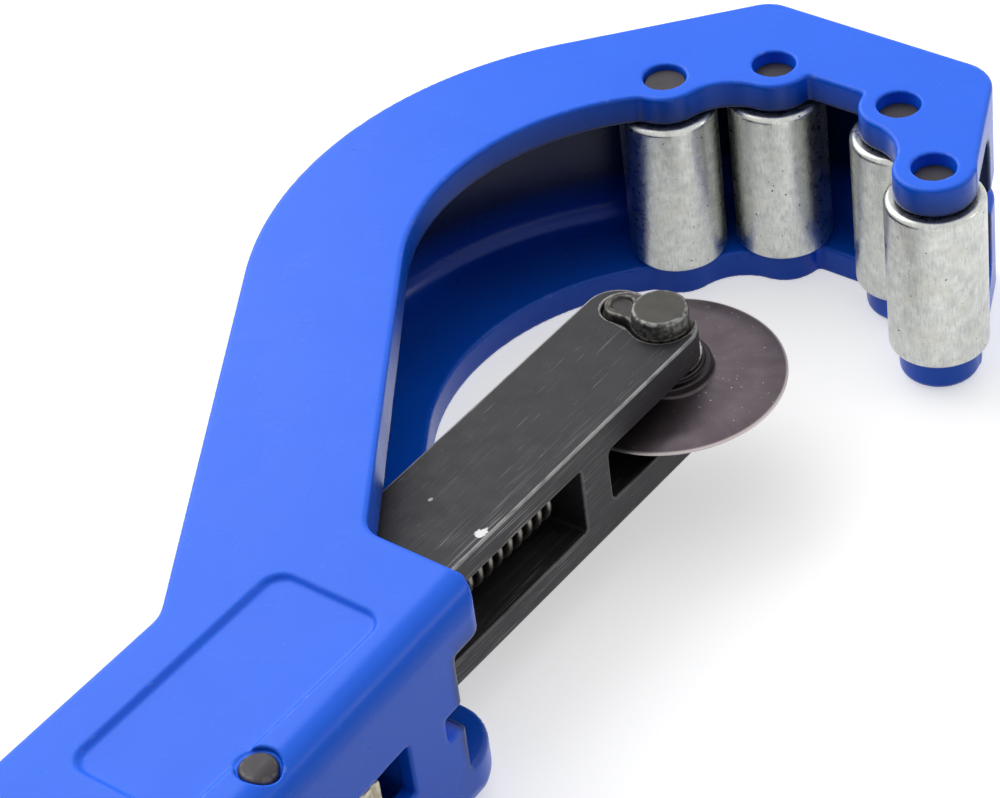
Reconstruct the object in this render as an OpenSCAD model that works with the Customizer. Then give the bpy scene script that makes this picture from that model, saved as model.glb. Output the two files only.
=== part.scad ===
// Cutter for plastic pipe. A cast C frame carries four guide rollers, and a screw-fed slide in its
// handle carries the cutting wheel.
// X runs forward along the slide, +Y is the closed side of the jaw, and Z is up.
// In the plans below, x is counted from the line of the two outer roller pins and y from the
// middle of the slide. The finished part stands with its origin under the middle of its box.

/* [Casting] */
// Thickness of the whole casting
frame_t = 35; // [33:0.5:44]
// Thickness of each flange of the jaw
flange_t = 4.6; // [3.6:0.1:5.6]
// Thickness of the back web between the flanges
web_t = 3.2; // [2:0.1:4.2]
// Front face of the jaw, ahead of the outer pins
front_reach = 23.4; // [21:0.2:28]
// Centre of the crown arc, behind the outer pins
crown_back = 36.2; // [33:0.2:40]
// Gap between the rollers and the back web
web_gap = 3.3; // [1.5:0.1:8]
// Slope of the back edge, from the handle up to the crown, in degrees
back_slope = 31.7; // [28:0.1:36]
// Slope of the brow, from the crown down to the front, in degrees
brow_slope = 41.9; // [38:0.1:46]
// Slope of the chin, under the lowest pin, in degrees
chin_slope = 24.4; // [18:0.1:30]
// Radius of the hollow corner between handle and back edge
back_r = 6; // [2:0.5:12]
// Radius of the corner between brow and front face
brow_r = 5; // [2:0.5:8]
// Radius of the corner between front face and chin
chin_r = 6.4; // [3:0.2:9]
// Front of the outer pins at which the web stops under the chin
web_end = 15.8; // [12:0.2:18]

/* [Throat] */
// Centre of the throat arc, behind the outer pins
throat_back = 32.4; // [30:0.2:35]
// Radius of the throat arc
throat_r = 34.9; // [33:0.1:37]
// Slope of the throat edge that runs to the handle, in degrees
throat_slope = 33.6; // [29:0.1:38]
// Radius of the hollow corner between throat and handle
throat_corner_r = 4; // [1:0.5:8]
// Distance behind the outer pins at which the flanges start to thicken
swell_back = 45; // [30:1:70]

/* [Handle] */
// Front face of the handle, behind the outer pins
mouth_back = 97; // [90:0.5:102]
// Reach of the handle's floor ahead of its roof
floor_lip = 2.2; // [0:0.2:4]
// Radius of the front corner of the handle's roof, in plan
mouth_r = 2.5; // [1:0.5:7]
// Radius of the front corner of its floor, in plan
floor_r = 8; // [3:0.5:8]
// Overhang of the roof ahead of the side wall
lip = 6.2; // [2:0.2:9]
// Wall beside the slide on the closed side
left_wall_t = 2.2; // [1.6:0.1:4]
// Wall beside the lever on the open side
right_wall_t = 2.4; // [1.6:0.1:3.4]
// Room for the lever between that wall and the slide
lever_bay_w = 7.2; // [7:0.1:9]
// Extra width of the handle at its rear end
handle_flare = 3.8; // [3.6:0.1:6]
// Rounding of the handle's long edges on the open side
grip_r = 4.5; // [3:0.5:8]
// Thickness of the rear wall
rear_wall_t = 4; // [3:0.2:8]
// Radius of the rear corners
rear_r = 5; // [1:0.5:9]
// Front of the side window, behind the outer pins
window_back = 114; // [111:0.2:117]
// Length of the side window
window_len = 27; // [26.5:0.5:34]
// Height of the side window
window_h = 8.1; // [6:0.1:10]
// Depth of the notch in the front edge of the side wall
notch_depth = 3.6; // [1:0.2:6]
// Height of that notch
notch_h = 3.7; // [2:0.1:7]

/* [Panel] */
// Front of the sunk panel, behind the outer pins
panel_back = 108.2; // [103:0.2:115]
// Length of the panel
panel_len = 37.8; // [20:0.2:50]
// Width of the panel
panel_w = 16.8; // [10:0.2:18]
// Edge of the panel on the closed side, from the middle of the slide
panel_left = 3.8; // [1:0.2:6]
// Corner radius of the panel
panel_r = 2.75; // [1:0.25:5]
// Depth of the panel
panel_depth = 0.7; // [0.3:0.1:1.5]

/* [Rollers] */
// Diameter of a roller
roller_d = 14.2; // [11:0.1:15]
// Rounding of a roller's rims
roller_edge = 0.9; // [0.3:0.1:2]
// Diameter of a roller pin
roller_pin_d = 6; // [4:0.1:7]
// Diameter of the mouth of each pin hole
pin_mouth_d = 6.4; // [6.2:0.1:8]
// Depth of that mouth
pin_mouth_depth = 2.4; // [2:0.1:3]
// Depth of each pin's ends below the faces of the casting
pin_sink = [0.9, 1.9, 1.9, 1.9];
// Distance of the outer pins from the middle of the slide
outer_pin_y = 22.3; // [21:0.1:24]
// Distance of the inner pins ahead of the outer ones
inner_pin_x = 10.1; // [9:0.1:12]
// Distance of the inner pins from the middle of the slide
inner_pin_y = 10.4; // [9.4:0.1:11.5]
// Radius of the casting round each pin
lobe_r = 5.7; // [4.6:0.1:6.6]
// Radius of the hollow between the lobes of an outer and an inner pin
valley_r = 8; // [6:0.5:14]

/* [Slide] */
// Width of the slide
slide_w = 17.1; // [16:0.1:19]
// Height of the slide
slide_h = 18.3; // [17:0.1:20]
// Length of the slide behind the wheel axis
slide_back = 96.5; // [90:0.5:104]
// Length of the fork arms ahead of the wheel axis
arm_tip = 3.8; // [3.4:0.1:6]
// Corner radius of the fork arms, in plan
arm_r = 4.8; // [1:0.2:6]
// Depth of the fork behind the wheel axis
fork_depth = 20.6; // [20:0.2:24]
// Gap between the fork arms
fork_gap = 8.5; // [6:0.1:9.5]
// Thickness of the bridge behind the fork
bridge_t = 5.9; // [3:0.1:9]
// Height of the channel behind the bridge
channel_h = 10.5; // [10.2:0.1:12]
// Wall of the channel on the closed side
channel_wall = 3.3; // [2:0.1:3.4]
// Distance of the wheel axis from the middle of the slide, to the open side
wheel_offset = 2.9; // [2:0.1:3.4]

/* [Travel] */
// Wheel axis behind the outer pins as the part is stored
wheel_rest = 37.8; // [30:0.2:45]
// The same with the jaw wide open
wheel_open = 81; // [78:0.5:84]
// The same with the wheel next to the rollers
wheel_closed = 14.5; // [14.5:0.1:18]

/* [Wheel] */
// Diameter of the cutting wheel
wheel_d = 33; // [28:0.2:33.4]
// Thickness of its disc at the hub
wheel_t = 2.2; // [1.4:0.1:3]
// Thickness of its disc where the bevel starts
bevel_t = 1.4; // [0.8:0.1:1.4]
// Width of the bevel
bevel_w = 2; // [1:0.1:4]
// Thickness of the cutting edge
edge_t = 0.3; // [0.2:0.05:0.6]
// Diameter of the hub
hub_d = 12.8; // [11:0.1:15]
// Diameter of the washers beside the hub
washer_d = 10.4; // [9:0.1:11]
// Thickness of a washer
washer_t = 0.8; // [0.4:0.1:1.2]
// Diameter of the wheel pin
wheel_pin_d = 6; // [4:0.1:6.6]
// Diameter of its head
head_d = 7.8; // [7:0.1:9]
// Height of its head above the slide
head_h = 2.6; // [2.2:0.1:3.2]
// Thickness of the clip that holds the pin
clip_t = 2; // [1.2:0.1:2.4]
// Depth at which the clip lies in the fork arm
clip_sink = 1; // [0.4:0.1:1.6]
// Width of the clip's tab
clip_w = 5.2; // [3:0.1:6]
// Length of the tab, from the pin axis to its round end
clip_len = 8.8; // [7:0.1:9.4]

/* [Feed screw] */
// Outer diameter of the thread
screw_d = 9; // [7:0.1:9.4]
// Pitch of the thread
thread_pitch = 2; // [1.5:0.25:3]
// Depth of the thread
thread_depth = 1.1; // [0.5:0.1:1.3]
// Diameter of the spigot in front of the thread
spigot_d = 6; // [4:0.1:6.4]
// Outer diameter of the spring on the spigot
spring_d = 10; // [9:0.1:10]
// Wire of that spring
spring_wire = 1; // [0.6:0.1:1.2]
// Distance between its turns
spring_pitch = 2.1; // [1.8:0.1:4]
// Length of the spring
spring_len = 38.5; // [25:0.5:40]
// Thickness of the washer behind the spring
seat_t = 1.2; // [0.8:0.1:2]
// Thickness of the ring that holds the spigot in the bridge
ring_t = 1.2; // [0.6:0.1:1.6]
// Diameter of that ring
ring_d = 8.2; // [7.4:0.1:8.2]
// Outer diameter of the bush in the rear wall
bush_d = 13; // [11.5:0.1:15]

/* [Knob] */
// Diameter of the knob
knob_d = 34; // [26:0.5:34.5]
// Length of the knob with its collar
knob_len = 33; // [25:0.5:45]
// Diameter of the collar
collar_d = 21; // [16:0.5:24]
// Length of the collar
collar_len = 7; // [5:0.5:10]
// Rounding of the knob's rims
knob_edge = 2.5; // [1:0.1:4]
// Number of flutes
flutes = 10; // [6:1:14]
// Radius of a flute
flute_r = 3.2; // [2:0.1:4]
// Depth of a flute
flute_depth = 2.1; // [1:0.1:2.5]
// Gap between knob and handle with the jaw closed
knob_gap = 2; // [1:0.5:6]
// Length of the screw inside the knob
knob_grip = 18; // [12:0.5:20]
// Diameter of the cross pin
cross_pin_d = 3; // [2:0.1:4]
// Diameter of the end cap
cap_d = 18; // [12:0.5:24]
// Thickness of the end cap
cap_t = 2; // [1:0.1:3]

/* [Release lever] */
// Pivot of the lever, behind the outer pins
pivot_back = 134.6; // [134:0.1:136]
// Pivot of the lever, from the middle of the slide
pivot_side = 15.5; // [15.2:0.1:15.7]
// Diameter of the lever pin
lever_pin_d = 4.8; // [4:0.1:5]
// Diameter of the mouth of its hole
lever_mouth_d = 5.6; // [5.2:0.1:6]
// Depth of that mouth
lever_mouth_depth = 0.8; // [0.6:0.1:1.2]
// Depth of the pin's ends below the faces of the casting
lever_pin_sink = 0.3; // [0.1:0.1:0.5]
// Radius of the lever round its pin
lever_hub_r = 4; // [3.6:0.1:4.1]
// Reach of the thumb block ahead of the pivot
thumb_reach = 14.8; // [10:0.1:16]
// Reach of the rear arm behind the half nut
arm_tail = 1; // [0.2:0.1:1.6]
// Thickness of the arms
lever_t = 4; // [3:0.1:4.4]
// Front of the half nut, behind the pivot
nut_back = 13.7; // [12:0.1:14]
// Length of the half nut
nut_len = 14; // [8:0.5:14]
// Depth of the half nut's hold on the screw, short of the screw's axis
nut_short = 2.5; // [1.5:0.1:3.5]
// Outer diameter of the lever spring
lever_spring_d = 5; // [3.5:0.1:5.5]
// Wire of the lever spring
lever_spring_wire = 0.5; // [0.3:0.05:0.6]
// Distance between its turns
lever_spring_pitch = 1; // [0.95:0.05:1.4]

/* [Clearances] */
// Radial clearance of what turns on a pin or shaft
turn_play = 0.05; // [0.02:0.01:0.1]
// Clearance round the slide in the handle
slide_play = 0.25; // [0.1:0.05:0.4]
// Clearance at each end of a roller
roller_play = 0.3; // [0.1:0.05:0.6]
// Clearance between faces that turn or press against each other
face_play = 0.15; // [0.05:0.05:0.3]
// Clearance round the lever in its window, and round the screw in the half nut
lever_play = 0.3; // [0.1:0.05:0.4]
// Gap round the clip in its pocket
pocket_play = 0.5; // [0.2:0.05:0.8]

/* [Hidden] */
$fn = 64;

// Largest turn between two points of a drawn arc, in degrees
arc_step = 5;
// How far every cut runs past the face that it breaks
over = 1;
// Radius of inner corners that have lost theirs to the wall
least_r = 1;
// Radius that softens the small hollow corners of the jaw's outline
soften_r = 1.5;
// Points round the wire of a spring
wire_sides = 6;
// Rings of points along each turn of a spring
turn_rings = 8;
// Share of the thread's pitch taken by its crest, and by its root
thread_share = 0.3;

mid = frame_t / 2;
slide_half = slide_w / 2;
bay_half = slide_half + slide_play;
roof_t = mid - slide_h / 2 - slide_play;
handle_left = bay_half + left_wall_t;
handle_right = bay_half + lever_bay_w + right_wall_t;
wall_back = mouth_back + lip;
housing_back = wheel_open + slide_back + over + rear_wall_t;
bay_back = housing_back - rear_wall_t;

pins = [
    [0, outer_pin_y],
    [inner_pin_x, inner_pin_y],
    [inner_pin_x, -inner_pin_y],
    [0, -outer_pin_y]
];
roller_len = frame_t - 2 * flange_t - 2 * roller_play;

// The crown arc leaves the gap between the back web and the upper outer roller
crown_centre = [-crown_back, 0];
crown_r = (pins[0] - crown_centre) * [sin(brow_slope), cos(brow_slope)]
    + roller_d / 2 + web_gap + web_t;
echo(crown_r = crown_r);

// Places on the slide are counted backwards from the wheel axis
bridge_back = fork_depth + bridge_t;
seat_front = bridge_back + spring_len + 2 * face_play;
thread_front = seat_front + seat_t;
knob_front = housing_back + knob_gap - wheel_closed;
screw_tip = fork_depth - ring_t - 2 * face_play - face_play;
slide_top = mid + slide_h / 2;
lever_h = window_h - 2 * lever_play;
pivot = [-pivot_back, -pivot_side];
arm_reach = nut_back + nut_len + arm_tail;

// The box of the whole part, and its middle
rear_end = wheel_rest + knob_front + knob_len;
left_end = crown_r;
right_end = outer_pin_y + roller_d / 2;
middle = [(front_reach - rear_end) / 2, (left_end - right_end) / 2, 0];

// Outlines: lines, their meeting points, and polygons with rounded corners

function line_at(point, angle) = [point, [cos(angle), sin(angle)]];

// The line at this angle that passes a centre at a distance, to the left of its direction
function line_beside(centre, angle, distance) =
    line_at(centre + distance * [-sin(angle), cos(angle)], angle);

function meet(a, b) = a[0] + a[1] * cross(b[0] - a[0], b[1]) / cross(a[1], b[1]);

function unit(v) = v / norm(v);

function arc_points(centre, r, from, turn) =
    let (steps = ceil(abs(turn) / arc_step))
    [for (i = [0:steps]) centre + r * [cos(from + turn * i / steps), sin(from + turn * i / steps)]];

// One corner [point, radius] between its neighbours, as an arc
function corner_arc(before, corner, after) =
    let (
        u = unit(before - corner[0]),
        v = unit(after - corner[0]),
        half = acos(u * v) / 2,
        centre = corner[0] + unit(u + v) * corner[1] / sin(half),
        first = corner[0] + u * corner[1] / tan(half) - centre,
        last = corner[0] + v * corner[1] / tan(half) - centre,
        from = atan2(first[1], first[0]),
        turn = atan2(cross(first, last), first * last)
    )
    arc_points(centre, corner[1], from, turn);

// A closed outline from corners [point, radius]; a radius of zero stays sharp
function rounded(corners) =
    let (n = len(corners))
    [for (i = [0:n - 1])
        each corners[i][1] == 0
            ? [corners[i][0]]
            : corner_arc(corners[(i + n - 1) % n][0], corners[i], corners[(i + 1) % n][0])];

function box_corners(x0, x1, y0, y1, r) = [[[x0, y0], r], [[x1, y0], r], [[x1, y1], r], [[x0, y1], r]];

// The outer edges of the casting, drawn in by a wall
throat_centre = [-throat_back, 0];
function left_edge(wall) = line_at([0, handle_left - wall], 0);
function back_edge(wall) = line_beside(crown_centre, back_slope, crown_r - wall);
function brow_edge(wall) = line_beside(crown_centre, -brow_slope, crown_r - wall);
function front_edge(wall) = line_at([front_reach - wall, 0], 90);
function chin_edge(wall) = line_beside(pins[3], chin_slope, wall - lobe_r);

// Corners from the handle over the crown to the chin, for the outside and for the hollow
function shell_corners(wall, side_wall) = [
    [meet(left_edge(side_wall), back_edge(wall)), back_r + wall],
    [meet(back_edge(wall), brow_edge(wall)), crown_r - wall],
    [meet(brow_edge(wall), front_edge(wall)), max(brow_r - wall, least_r)],
    [meet(front_edge(wall), chin_edge(wall)), max(chin_r - wall, least_r)]
];

// The edge of the throat
throat_edge = line_beside(throat_centre, throat_slope, throat_r);
throat_ray = unit(pins[0] - throat_centre);
throat_start = throat_centre + throat_r * throat_ray;
throat_tangent = [throat_start, [-throat_ray[1], throat_ray[0]]];
chin_end = pins[3] + lobe_r * [sin(chin_slope), -cos(chin_slope)];

// The open side of the handle, which widens towards the rear
function right_edge(back) =
    -handle_right - handle_flare * (back - mouth_back) / (housing_back - mouth_back);

// Plan of the casting, with the front of the handle at a distance behind the outer pins and the
// radius of its front corner
module jaw_plan(mouth, corner_r) {
    polygon(rounded(concat(
        [[[-housing_back, handle_left], rear_r]],
        shell_corners(0, 0),
        [
            [chin_end, 0],
            [pins[3], 0],
            [pins[2], 0],
            [pins[1], 0],
            [pins[0], 0],
            [throat_start, 0],
            [meet(throat_tangent, throat_edge), throat_r],
            [meet(throat_edge, line_at([-mouth, 0], 90)), throat_corner_r],
            [[-mouth, right_edge(mouth)], corner_r],
            [[-housing_back, right_edge(housing_back)], rear_r]
        ]
    )));
}

module lobe_pair(a, b) {
    offset(r = -valley_r) offset(delta = valley_r) {
        translate(pins[a]) circle(r = lobe_r);
        translate(pins[b]) circle(r = lobe_r);
    }
}

module frame_plan(mouth, corner_r) {
    offset(r = -soften_r) offset(delta = soften_r) {
        jaw_plan(mouth, corner_r);
        lobe_pair(0, 1);
        lobe_pair(2, 3);
    }
}

// The hollow between the flanges, which runs back as the slide's bay and is open on the open side
module hollow_plan() {
    open_side = right_end + over;
    polygon(rounded(concat(
        [[[-bay_back, bay_half], 0]],
        shell_corners(web_t, left_wall_t),
        [
            [meet(chin_edge(web_t), line_at([web_end, 0], 90)), 0],
            [[web_end, -open_side], 0],
            [[-wall_back, -open_side], 0],
            [[-wall_back, -bay_half], 0],
            [[-bay_back, -bay_half], 0]
        ]
    )));
}

// Side view of the hollow: the flanges thicken towards the handle's roof and floor
module hollow_side() {
    polygon([
        [-bay_back - over, roof_t],
        [-mouth_back, roof_t],
        [-swell_back, flange_t],
        [front_reach + over, flange_t],
        [front_reach + over, frame_t - flange_t],
        [-swell_back, frame_t - flange_t],
        [-mouth_back, frame_t - roof_t],
        [-bay_back - over, frame_t - roof_t]
    ]);
}

module hollow() {
    intersection() {
        linear_extrude(frame_t) hollow_plan();
        translate([0, crown_r + over, 0]) rotate([90, 0, 0])
            linear_extrude(crown_r + right_end + 3 * over) hollow_side();
    }
}

// Room for the lever beside the slide
module lever_bay() {
    bay_end = pivot_back + arm_reach + right_wall_t;
    translate([0, 0, roof_t]) linear_extrude(frame_t - 2 * roof_t) polygon([
        [-window_back, -slide_half],
        [-window_back, right_edge(window_back) + right_wall_t],
        [-bay_end, right_edge(bay_end) + right_wall_t],
        [-bay_end, -slide_half]
    ]);
}

module side_window() {
    translate([-window_back - window_len, right_edge(housing_back) - over, mid - window_h / 2])
        cube([window_len, handle_flare + right_wall_t + 2 * over, window_h]);
}

module wall_notch() {
    translate([-wall_back - notch_depth, -handle_right - handle_flare, mid - notch_h / 2])
        cube([notch_depth + over, handle_flare + notch_depth, notch_h]);
}

module pin_hole() {
    translate([0, 0, -over]) cylinder(d = roller_pin_d, h = frame_t + 2 * over);
    for (z = [-over, frame_t - pin_mouth_depth])
        translate([0, 0, z]) cylinder(d = pin_mouth_d, h = pin_mouth_depth + over);
}

// A cylinder whose axis runs forward along the slide from a place behind the wheel axis
module along_slide(back, length, d) {
    translate([-back, 0, mid]) rotate([0, 90, 0]) cylinder(d = d, h = length);
}

// What is cut away to round the two long edges of the handle on the open side. The same cut
// serves at a depth below both faces.
module grip_edges(depth) {
    side = housing_back - mouth_back;
    length = norm([side, handle_flare]) + floor_lip + 3 * over;
    translate([-housing_back, right_edge(housing_back), mid])
        rotate([0, 0, atan2(handle_flare, side)])
            for (face = [0, 1]) mirror([0, 0, face]) translate([0, 0, depth - mid]) difference() {
                translate([-over, -over, -depth - over])
                    cube([length, grip_r + over, grip_r + depth + over]);
                translate([-2 * over, grip_r, grip_r]) rotate([0, 90, 0])
                    cylinder(r = grip_r, h = length + 2 * over);
            }
}

// A post at the lever's pivot whose ends lie at a depth below the rounded faces of the handle
module pivot_post(d, depth) {
    difference() {
        translate([pivot[0], pivot[1], depth]) cylinder(d = d, h = frame_t - 2 * depth);
        grip_edges(depth);
    }
}

module frame() {
    color("royalblue") translate(-middle) difference() {
        union() {
            translate([0, 0, roof_t]) linear_extrude(frame_t - roof_t)
                frame_plan(mouth_back, mouth_r);
            linear_extrude(roof_t) frame_plan(mouth_back - floor_lip, floor_r);
        }
        grip_edges(0);
        hollow();
        lever_bay();
        side_window();
        wall_notch();
        for (p = pins) translate(p) pin_hole();
        translate([pivot[0], pivot[1], -over]) cylinder(d = lever_pin_d, h = frame_t + 2 * over);
        difference() {
            translate([pivot[0], pivot[1], -over])
                cylinder(d = lever_mouth_d, h = frame_t + 2 * over);
            pivot_post(lever_mouth_d + over, lever_mouth_depth);
        }
        along_slide(housing_back + over, rear_wall_t + 2 * over, bush_d);
        translate([0, 0, frame_t - panel_depth]) linear_extrude(panel_depth + over)
            polygon(rounded(box_corners(-panel_back - panel_len, -panel_back,
                panel_left - panel_w, panel_left, panel_r)));
    }
}

module roller(i) {
    inner = roller_pin_d / 2 + turn_play;
    outer = roller_d / 2;
    profile = [
        [[inner, 0], 0],
        [[outer, 0], roller_edge],
        [[outer, roller_len], roller_edge],
        [[inner, roller_len], 0]
    ];
    color("silver") translate(-middle + [pins[i][0], pins[i][1], flange_t + roller_play])
        rotate_extrude() polygon(rounded(profile));
}

module roller_pin(i) {
    color("dimgray") translate(-middle + [pins[i][0], pins[i][1], pin_sink[i]])
        cylinder(d = roller_pin_d, h = frame_t - 2 * pin_sink[i]);
}

// Places what is drawn from the wheel axis, at the stored position
module on_slide() {
    translate(-middle + [-wheel_rest, 0, 0]) children();
}

module clip_plan(gap) {
    tab = clip_w / 2 + gap;
    translate([0, -wheel_offset]) {
        circle(r = head_d / 2 + gap);
        translate([-tab, 0]) square([2 * tab, clip_len - clip_w / 2]);
        translate([0, clip_len - clip_w / 2]) circle(r = tab);
    }
}

module slide() {
    color("dimgray") on_slide() difference() {
        translate([0, 0, slide_top - slide_h]) linear_extrude(slide_h) polygon(rounded([
            [[-slide_back, -slide_half], 0],
            [[arm_tip, -slide_half], arm_r],
            [[arm_tip, slide_half], arm_r],
            [[-slide_back, slide_half], 0]
        ]));
        translate([-fork_depth, -slide_half - over, mid - fork_gap / 2])
            cube([fork_depth + arm_tip + over, slide_w + 2 * over, fork_gap]);
        translate([-slide_back - over, -slide_half - over, mid - channel_h / 2])
            cube([slide_back - bridge_back + over, slide_w - channel_wall + over, channel_h]);
        along_slide(bridge_back + over, bridge_t + 2 * over, spigot_d + 2 * turn_play);
        translate([0, -wheel_offset, slide_top - slide_h - over])
            cylinder(d = wheel_pin_d, h = slide_h + 2 * over);
        translate([0, 0, slide_top - clip_sink]) linear_extrude(clip_sink + over)
            clip_plan(pocket_play);
    }
}

module wheel_pin() {
    color("gray") on_slide() translate([0, -wheel_offset, slide_top - slide_h]) {
        cylinder(d = wheel_pin_d, h = slide_h);
        translate([0, 0, slide_h]) cylinder(d = head_d, h = head_h);
    }
}

module pin_clip() {
    color("slategray") on_slide() translate([0, 0, slide_top - clip_sink]) difference() {
        linear_extrude(clip_t) clip_plan(0);
        translate([0, -wheel_offset, -over]) cylinder(d = wheel_pin_d, h = clip_t + over);
        translate([0, -wheel_offset, clip_sink]) cylinder(d = head_d, h = clip_t + over);
    }
}

hub_half = fork_gap / 2 - washer_t - face_play;

module cutter_wheel() {
    inner = wheel_pin_d / 2 + turn_play;
    rim = wheel_d / 2;
    upper = [
        [inner, hub_half],
        [hub_d / 2, hub_half],
        [hub_d / 2, wheel_t / 2],
        [rim - bevel_w, bevel_t / 2],
        [rim, edge_t / 2]
    ];
    lower = [for (i = [len(upper) - 1:-1:0]) [upper[i][0], -upper[i][1]]];
    color("rosybrown") on_slide() translate([0, -wheel_offset, mid])
        rotate_extrude() polygon(concat(upper, lower));
}

module wheel_washers() {
    color("gray") on_slide() for (z = [mid - fork_gap / 2, mid + fork_gap / 2 - washer_t])
        translate([0, -wheel_offset, z]) difference() {
            cylinder(d = washer_d, h = washer_t);
            translate([0, 0, -over]) cylinder(d = wheel_pin_d, h = washer_t + 2 * over);
        }
}

// Springs: a tube swept along one path, which runs straight out of each end face

// Path points [position, direction, outward] of a spring along X, from 0 to its length
function spring_path(length, d, wire, pitch) =
    let (
        r = (d - wire) / 2,
        bend = wire / 2,
        rise = length - 2 * (wire + bend),
        turns = rise / pitch,
        steps = ceil(turns * turn_rings),
        forward = [1, 0, 0],
        start_turn = [for (t = [0, 90 / 2]) let (out = [0, 1, 0], around = [0, 0, 1])
            [[wire + bend * sin(t), r, -bend * cos(t)],
             unit(forward * cos(t) + around * sin(t)), out]],
        coil = [for (i = [0:steps]) let (
                a = 360 * turns * i / steps,
                out = [0, cos(a), sin(a)],
                around = [0, -sin(a), cos(a)]
            )
            [[wire + bend + rise * i / steps, 0, 0] + r * out,
             unit(around * 2 * PI * r + forward * pitch), out]],
        last = 360 * turns,
        out = [0, cos(last), sin(last)],
        around = [0, -sin(last), cos(last)],
        end_turn = [for (t = [90 / 2, 90])
            [[length - wire - bend * cos(t), 0, 0] + r * out + around * bend * sin(t),
             unit(around * cos(t) + forward * sin(t)), out]]
    )
    concat(
        [[[0, r, -bend], forward, [0, 1, 0]]],
        start_turn,
        coil,
        end_turn,
        [[[length, 0, 0] + r * out + around * bend, forward, out]]
    );

module swept_wire(path, wire) {
    n = len(path);
    points = [for (p = path) let (side = cross(p[1], p[2]))
        each [for (k = [0:wire_sides - 1]) let (a = 360 * k / wire_sides)
            p[0] + wire / 2 * (cos(a) * p[2] + sin(a) * side)]];
    walls = [for (i = [0:n - 2], k = [0:wire_sides - 1]) let (
            j = (k + 1) % wire_sides,
            a = i * wire_sides,
            b = a + wire_sides
        ) each [[a + k, b + k, b + j], [a + k, b + j, a + j]]];
    first_cap = [for (k = [1:wire_sides - 2]) [0, k, k + 1]];
    last_ring = (n - 1) * wire_sides;
    last_cap = [for (k = [1:wire_sides - 2]) [last_ring, last_ring + k + 1, last_ring + k]];
    polyhedron(points = points, faces = concat(walls, first_cap, last_cap));
}

// Least gap between two turns, measured on the path's points half a turn or more apart
function least_gap(path, wire) =
    min([for (i = [0:len(path) - 1], j = [i + turn_rings / 2:1:len(path) - 1])
        norm(path[i][0] - path[j][0])]) - wire;

feed_path = spring_path(spring_len, spring_d, spring_wire, spring_pitch);
echo(feed_spring_gap = least_gap(feed_path, spring_wire));

module feed_spring() {
    color("slategray") on_slide()
        translate([-bridge_back - face_play, 0, mid]) mirror([1, 0, 0])
            swept_wire(feed_path, spring_wire);
}

module bored_disc(back, length, d, bore) {
    difference() {
        along_slide(back, length, d);
        along_slide(back + over, length + 2 * over, bore);
    }
}

module spring_seat() {
    color("silver") on_slide() bored_disc(thread_front, seat_t, spring_d, spigot_d);
}

module screw_ring() {
    color("silver") on_slide()
        bored_disc(fork_depth - face_play, ring_t, ring_d, spigot_d);
}

// The screw is turned from its half outline, with the thread as closed grooves
module feed_screw() {
    crest = screw_d / 2;
    root = crest - thread_depth;
    thread_end = knob_front;
    turns = floor((thread_end - thread_front) / thread_pitch);
    flank = thread_pitch * (1 - 2 * thread_share) / 2;
    teeth = [for (i = [0:turns - 1]) let (x = thread_front + i * thread_pitch)
        each [
            [crest, x],
            [crest, x + thread_pitch * thread_share],
            [root, x + thread_pitch * thread_share + flank],
            [root, x + thread_pitch - flank]
        ]];
    end = knob_front + knob_grip;
    color("silver") on_slide() difference() {
        translate([0, 0, mid]) rotate([0, -90, 0]) rotate_extrude() polygon(concat(
            [[0, screw_tip], [spigot_d / 2, screw_tip], [spigot_d / 2, thread_front]],
            teeth,
            [[crest, thread_front + turns * thread_pitch], [crest, end], [0, end]]
        ));
        knob_pin_hole();
    }
}

module screw_bush() {
    color("darkgoldenrod") translate(-middle)
        bored_disc(housing_back, rear_wall_t, bush_d, screw_d + 2 * turn_play);
}

module knob_pin_hole() {
    translate([-knob_front - collar_len / 2, 0, mid - collar_d / 2 - over])
        cylinder(d = cross_pin_d, h = collar_d + 2 * over);
}

module knob() {
    grip = knob_d / 2;
    profile = [
        [[0, 0], 0],
        [[collar_d / 2, 0], knob_edge / 2],
        [[collar_d / 2, collar_len], knob_edge / 2],
        [[grip, collar_len], knob_edge],
        [[grip, knob_len], knob_edge],
        [[0, knob_len], 0]
    ];
    color([0.1, 0.1, 0.11]) on_slide() difference() {
        translate([-knob_front, 0, mid]) rotate([0, -90, 0]) difference() {
            rotate_extrude() polygon(rounded(profile));
            for (i = [0:flutes - 1]) rotate([0, 0, 360 * i / flutes])
                translate([grip + flute_r - flute_depth, 0, collar_len - over])
                    cylinder(r = flute_r, h = knob_len - collar_len + 2 * over);
            translate([0, 0, knob_len - cap_t]) cylinder(d = cap_d, h = cap_t + over);
        }
        along_slide(knob_front + knob_grip, knob_grip + over, screw_d);
        knob_pin_hole();
    }
}

module knob_cap() {
    color("slategray") on_slide()
        along_slide(knob_front + knob_len, cap_t, cap_d);
}

module knob_pin() {
    color("silver") on_slide()
        translate([-knob_front - collar_len / 2, 0, mid - collar_d / 2])
            cylinder(d = cross_pin_d, h = collar_d);
}

module release_lever() {
    outer = right_edge(pivot_back - thumb_reach) + pivot_side + lever_play;
    color("tan") translate(-middle + [pivot[0], pivot[1], mid - lever_h / 2]) difference() {
        union() {
            cylinder(r = lever_hub_r, h = lever_h);
            translate([0, outer, 0]) cube([thumb_reach, lever_t - outer, lever_h]);
            translate([-arm_reach, 0, 0]) cube([arm_reach, lever_t, lever_h]);
        }
        translate([0, 0, -over])
            cylinder(d = lever_pin_d + 2 * turn_play, h = lever_h + 2 * over);
    }
}

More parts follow.
